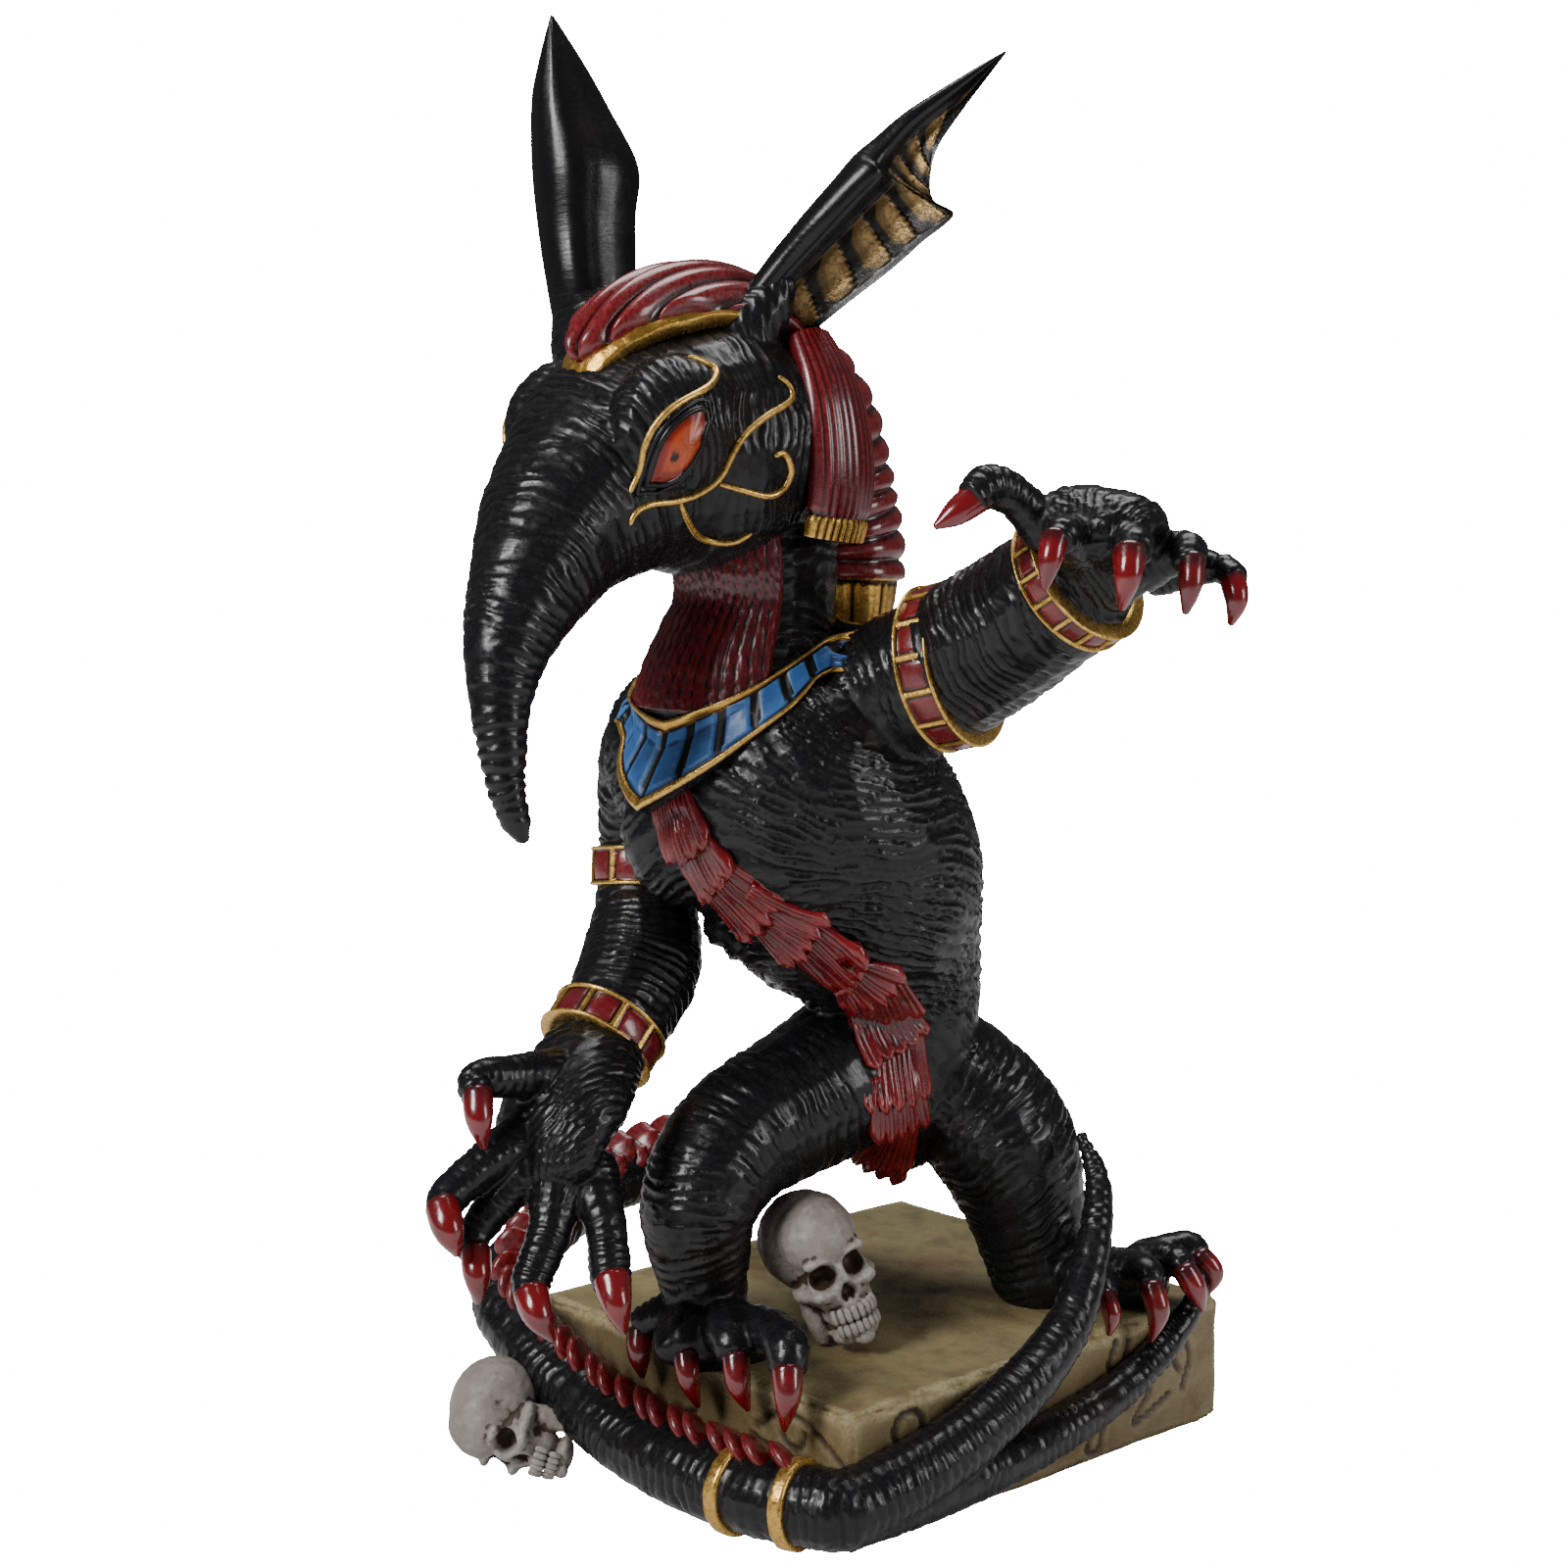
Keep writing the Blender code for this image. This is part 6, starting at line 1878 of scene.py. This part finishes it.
def tail_ring(name, share):
    """A flat gold ring round the tail, with rounded edges and dents."""
    centres, girths, _ = tail_lines[0]
    k = round(share * (len(centres) - 1))
    tangent = tangents_of(centres)[k]
    x_axis, y_axis = rounds_of(centres, UP)
    turn = 2 * math.pi * np.arange(90) / 90
    profile = np.array(RING_PROFILE)
    outward = x_axis[k] * np.cos(turn)[:, None] + y_axis[k] * np.sin(turn)[:, None]
    radius = girths[k] + (profile[:, 1] * RING_RISE + 0.1) * MM
    rings = centres[k] + tangent * (profile[:, 0] * RING_WIDTH / 2 * MM)[None, :, None]
    rings = rings + outward[:, None] * radius[None, :, None]
    dents = 0.10 * MM * uneven(rings.reshape(-1, 3), 2.5 * MM, 61).reshape(rings.shape[:2])
    rings = rings + outward[:, None] * dents[..., None]
    set_on_figure(lofted(name, rings, loop=True), ANTIQUE_GOLD)


gills()
for ring_name, ring_share in zip(("first_tail_ring", "second_tail_ring"), RING_SHARES):
    tail_ring(ring_name, ring_share)


# Skulls
# Two human skulls cast on their own and glued in place, painted as old bone with a brown wash, partly
# painted shade in their hollows.

SKULL_CELL = 0.36
SKULL_HEIGHT = 26.5
MILLIMETRE = 0.001


def each_side(x, *rest):
    """A row of values on the skull's left, and its mirror image on the right."""
    return [(x, *rest), (-x, *rest)]


# Middle and radii of each swelling, in millimetres of a skull 26.5 mm high that looks along -y.
SKULL_LUMPS = [
    (0, 2.5, 4.5, 8.6, 10.2, 8.8),
    (0, -2.0, 5.0, 7.6, 7.4, 7.6),
    (0, -4.5, -1.5, 6.4, 4.6, 6.5),
    *each_side(5.0, -3.0, -2.3, 2.6, 4.4, 1.7),
    *each_side(3.2, -7.6, 3.1, 3.0, 1.6, 1.2),
    (0, -8.4, -0.6, 1.1, 1.5, 2.4),
    *each_side(4.2, -7.2, -2.6, 2.2, 1.9, 1.3),
    (0, -4.6, -7.0, 4.5, 4.2, 3.4),
    (0, -5.0, -11.2, 4.4, 4.0, 2.2),
    (0, -8.6, -11.8, 2.0, 1.0, 1.4),
    *each_side(4.8, -0.6, -7.0, 1.7, 2.6, 6.6),
]
SKULL_HOLLOWS = [
    *each_side(3.25, -9.0, 0.3, 2.6, 4.8, 2.35),
    *each_side(0.62, -9.6, -3.9, 0.75, 3.4, 1.35),
    (0, -9.6, -3.0, 0.8, 3.0, 1.4),
]
CHEEK_HOLLOWS = each_side(6.5, -5.2, -6.2, 2.3, 2.8, 2.4)
TEMPLE = (0, -3.5, 3.5)
TEMPLE_REACH = (99, 3.2, 3.4)
TEMPLE_DEPTH = 0.7
TEETH_EACH_SIDE = 4
# Height of the middle, half height and degrees between two teeth, for the upper and lower row.
TOOTH_ROWS = ((-7.0, 1.45, 15.0), (-9.6, 1.25, 14.1))
TOOTH_HALF = 0.62
BITE_HEIGHT = -8.3

OLD_BONE = painted(
    "old_bone",
    coat=(0.25, 0.218, 0.188),
    wash_and_shade=(0.045, 0.024, 0.013),
    brush_and_highlight=(0.46, 0.43, 0.40),
    shares=(1.0, 0.5, 0.30),
    rough=(0.42, 0.6),
    bump=0.4,
)


def teeth():
    """Two arches of single teeth, in the skull's own millimetres."""
    shapes = []
    axes = np.eye(3)
    for row, (middle, tall, apart) in enumerate(TOOTH_ROWS):
        radius = 4.7 - 0.12 * row
        radii = np.array([TOOTH_HALF, TOOTH_HALF, tall])
        for i in range(-TEETH_EACH_SIDE, TEETH_EACH_SIDE):
            angle = math.radians((i + 0.5) * apart)
            centre = np.array([radius * math.sin(angle), -4.9 - radius * math.cos(angle), middle])
            turn = np.array(Matrix.Rotation(angle, 3, "Z"))
            points, faces = ball((0, 0, 0), radii, axes, 10, 8)
            boxy = np.sign(points) * np.abs(points / radii) ** 0.75 * (0.60, TOOTH_HALF, tall)
            shapes.append((boxy @ turn.T + centre, faces))
    return shapes


def skull(name, node_name, size, place, turn):
    """Lumps melted together, hollowed, and set with teeth."""
    scale = size / SKULL_HEIGHT
    sizes = np.array(SKULL_LUMPS) * MILLIMETRE
    lumps = [ball(row[:3], row[3:], np.eye(3)) for row in sizes]
    mesh = melted(name, lumps, SKULL_CELL * MILLIMETRE, 5)
    points = places_of(mesh) / MILLIMETRE
    for x, y, z, rx, ry, rz in SKULL_HOLLOWS:
        flat = ((points[:, 0] - x) / rx) ** 2 + ((points[:, 2] - z) / rz) ** 2
        back = y + ry * np.sqrt(np.clip(1 - flat, 0, 1))
        sunk = (flat < 1) & (points[:, 1] < back) & (points[:, 1] < 0)
        points[sunk, 1] = back[sunk]
    for x, y, z, rx, ry, rz in CHEEK_HOLLOWS:
        offset = (points - (x, y, z)) / (rx, ry, rz)
        away = np.linalg.norm(offset, axis=1)
        near = away < 1
        out = offset / np.maximum(away, 0.05)[:, None]
        out[:, 0] = np.where(out[:, 0] * x > 0, -out[:, 0], out[:, 0])
        points[near] = (np.array((x, y, z)) + unit_rows(out) * (rx, ry, rz))[near]
    temple = np.exp(-(((points - TEMPLE) / TEMPLE_REACH) ** 2).sum(1)) * TEMPLE_DEPTH
    temple *= smoothstep(np.abs(points[:, 0]), 3.0, 6.0)
    points[:, 0] -= np.sign(points[:, 0]) * temple
    edges = edges_of(mesh)
    for _ in range(3):
        points += (neighbour_mean(points, edges, len(points)) - points) * 0.5
    pitted = 0.08 * uneven(points, 3.0, 71) + 0.03 * uneven(points, 1.1, 72)
    move_to(mesh, points)
    points = points + normals_of(mesh) * pitted[:, None]
    faces = [tuple(p.vertices) for p in mesh.polygons]
    bpy.data.meshes.remove(mesh)
    whole, faces = together([(points, faces), *teeth()])
    sockets = np.zeros(len(whole))
    for x, y, z, rx, ry, rz in SKULL_HOLLOWS:
        flat = ((whole[:, 0] - x) / rx) ** 2 + ((whole[:, 2] - z) / rz) ** 2
        deep = smoothstep(whole[:, 1], y + ry * 0.25, y + ry * 0.8) * (whole[:, 1] < 0)
        sockets = np.maximum(sockets, (1 - smoothstep(flat, 0.75, 1.15)) * deep)
    tooth_gap = np.zeros(len(whole))
    tooth_gap[len(points) :] = smoothstep(np.abs(whole[len(points) :, 2] - BITE_HEIGHT), 0.9, 0.1)
    placed = (np.c_[whole * scale, np.ones(len(whole))] @ np.array(place @ turn).T)[:, :3]
    placed[:, 2] = np.maximum(placed[:, 2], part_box(node_name)[0].z)
    made = mesh_piece(name, placed, faces)
    mark_ridges(made.data, 0.10 * MM, 4)
    # The sockets and the gaps between the rows of teeth are painted darker: partly a brown wash,
    # partly painted shade in these recesses.
    ridge = made.data.attributes["ridge"].data
    marked = np.zeros(len(whole), np.float32)
    ridge.foreach_get("value", marked)
    stained_and_shaded = np.clip(marked - 0.6 * sockets - 0.4 * tooth_gap, 0, 1)
    ridge.foreach_set("value", stained_and_shaded.astype(np.float32))
    made.data.materials.append(OLD_BONE)
    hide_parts(node_name)
    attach(made, "root")


def leaning(roll, swing):
    """The turn of a skull, in degrees: it rolls on its side and swings to its left."""
    facing = Matrix.Rotation(POSE_TURN, 4, "Z") @ Matrix.Rotation(math.radians(roll), 4, "Y")
    return facing @ Matrix.Rotation(math.radians(swing), 4, "Z")


UPPER_SKULL = 0.0265
LOWER_SKULL = 0.0235
upper_place = Matrix.Translation(Vector(at((-11, -25, 0))) + Vector((0, 0, UPPER_SKULL * 0.5)))
lower_place = Matrix.Translation((-SIDE_X * 0.60, -SIDE_Y - 18 * MM, LOWER_SKULL * 0.36))
skull("skull_on_slab", "skull_on_plinth", UPPER_SKULL, upper_place, leaning(-20, 24))
skull("skull_beside_slab", "skull_beside_plinth", LOWER_SKULL, lower_place, leaning(-73, -30))


# Studio
# A pale floor and backdrop, soft panels of light, and the camera where the photograph was taken.


# How bright the white floor and backdrop are to the camera, so that no edge shows between them.
SEEN_WHITE = 40.0
LIT_WHITE = 0.10


def floor():
    """A pale sheet that the slab stands on."""
    shape = bmesh.new()
    bmesh.ops.create_grid(shape, x_segments=1, y_segments=1, size=6.0)
    mesh = bpy.data.meshes.new("floor")
    shape.to_mesh(mesh)
    shape.free()
    made = in_scene("floor", mesh)
    paper = bpy.data.materials.new("pale_paper")
    paper.use_nodes = True
    shader = paper.node_tree.nodes["Principled BSDF"]
    shader.inputs["Base Color"].default_value = (0.9, 0.9, 0.9, 1)
    shader.inputs["Roughness"].default_value = 0.9
    shader.inputs["Emission Color"].default_value = (1, 1, 1, 1)
    seen = node(paper.node_tree, "ShaderNodeLightPath").outputs["Is Camera Ray"]
    glow = maths(paper.node_tree, "MULTIPLY", seen, SEEN_WHITE)
    paper.node_tree.links.new(glow, shader.inputs["Emission Strength"])
    mesh.materials.append(paper)


def panel(name, place, target, size, power):
    """A soft rectangular light, placed in the camera's own right, away and up, in metres."""
    light = bpy.data.lights.new(name, "AREA")
    light.shape = "RECTANGLE"
    light.size, light.size_y = size
    light.energy = power
    made = in_scene(name, light)
    spot = Vector(turned(place))
    made.location = spot
    made.rotation_euler = (Vector(turned(target)) - spot).to_track_quat("-Z", "Y").to_euler()


def surroundings(seen, lit):
    """A white backdrop that is dimmer where it only lights the object."""
    world = bpy.data.worlds.new("studio")
    bpy.context.scene.world = world
    world.use_nodes = True
    tree = world.node_tree
    backdrop = tree.nodes["Background"]
    backdrop.inputs["Color"].default_value = (1, 1, 1, 1)
    path = node(tree, "ShaderNodeLightPath")
    strength = node(tree, "ShaderNodeMapRange", {"To Min": lit, "To Max": seen})
    tree.links.new(path.outputs["Is Camera Ray"], strength.inputs["Value"])
    tree.links.new(strength.outputs["Result"], backdrop.inputs["Strength"])


CAMERA_TURN = math.radians(48.31)
CAMERA_DIP = math.radians(7.1)
CAMERA_RIGHT, CAMERA_AWAY, CAMERA_UP = -0.01756, -0.4526, 0.174


def camera():
    """The photograph's viewpoint: from the front right corner, a little above the collar."""
    lens = bpy.data.cameras.new("camera")
    lens.sensor_width = 36.0
    lens.lens = 58.5
    lens.clip_start = 0.01
    made = in_scene("camera", lens)
    right = Vector((math.cos(CAMERA_TURN), math.sin(CAMERA_TURN), 0))
    away = Vector((-math.sin(CAMERA_TURN), math.cos(CAMERA_TURN), 0))
    made.location = right * CAMERA_RIGHT + away * CAMERA_AWAY + Vector((0, 0, CAMERA_UP))
    made.rotation_euler = (math.pi / 2 - CAMERA_DIP, 0, CAMERA_TURN)
    bpy.context.scene.camera = made


floor()
surroundings(SEEN_WHITE, LIT_WHITE)
# Where each panel stands and points, its size in metres and its power in watts.
panel("key", (-0.60, -0.50, 0.62), (-0.02, 0, 0.12), (0.26, 0.40), 8.5)
panel("fill", (0.80, -0.45, 0.40), (0, 0, 0.12), (0.22, 0.5), 3.6)
panel("top", (0.05, 0.20, 0.9), (0, 0, 0.12), (0.6, 0.35), 5.0)
camera()
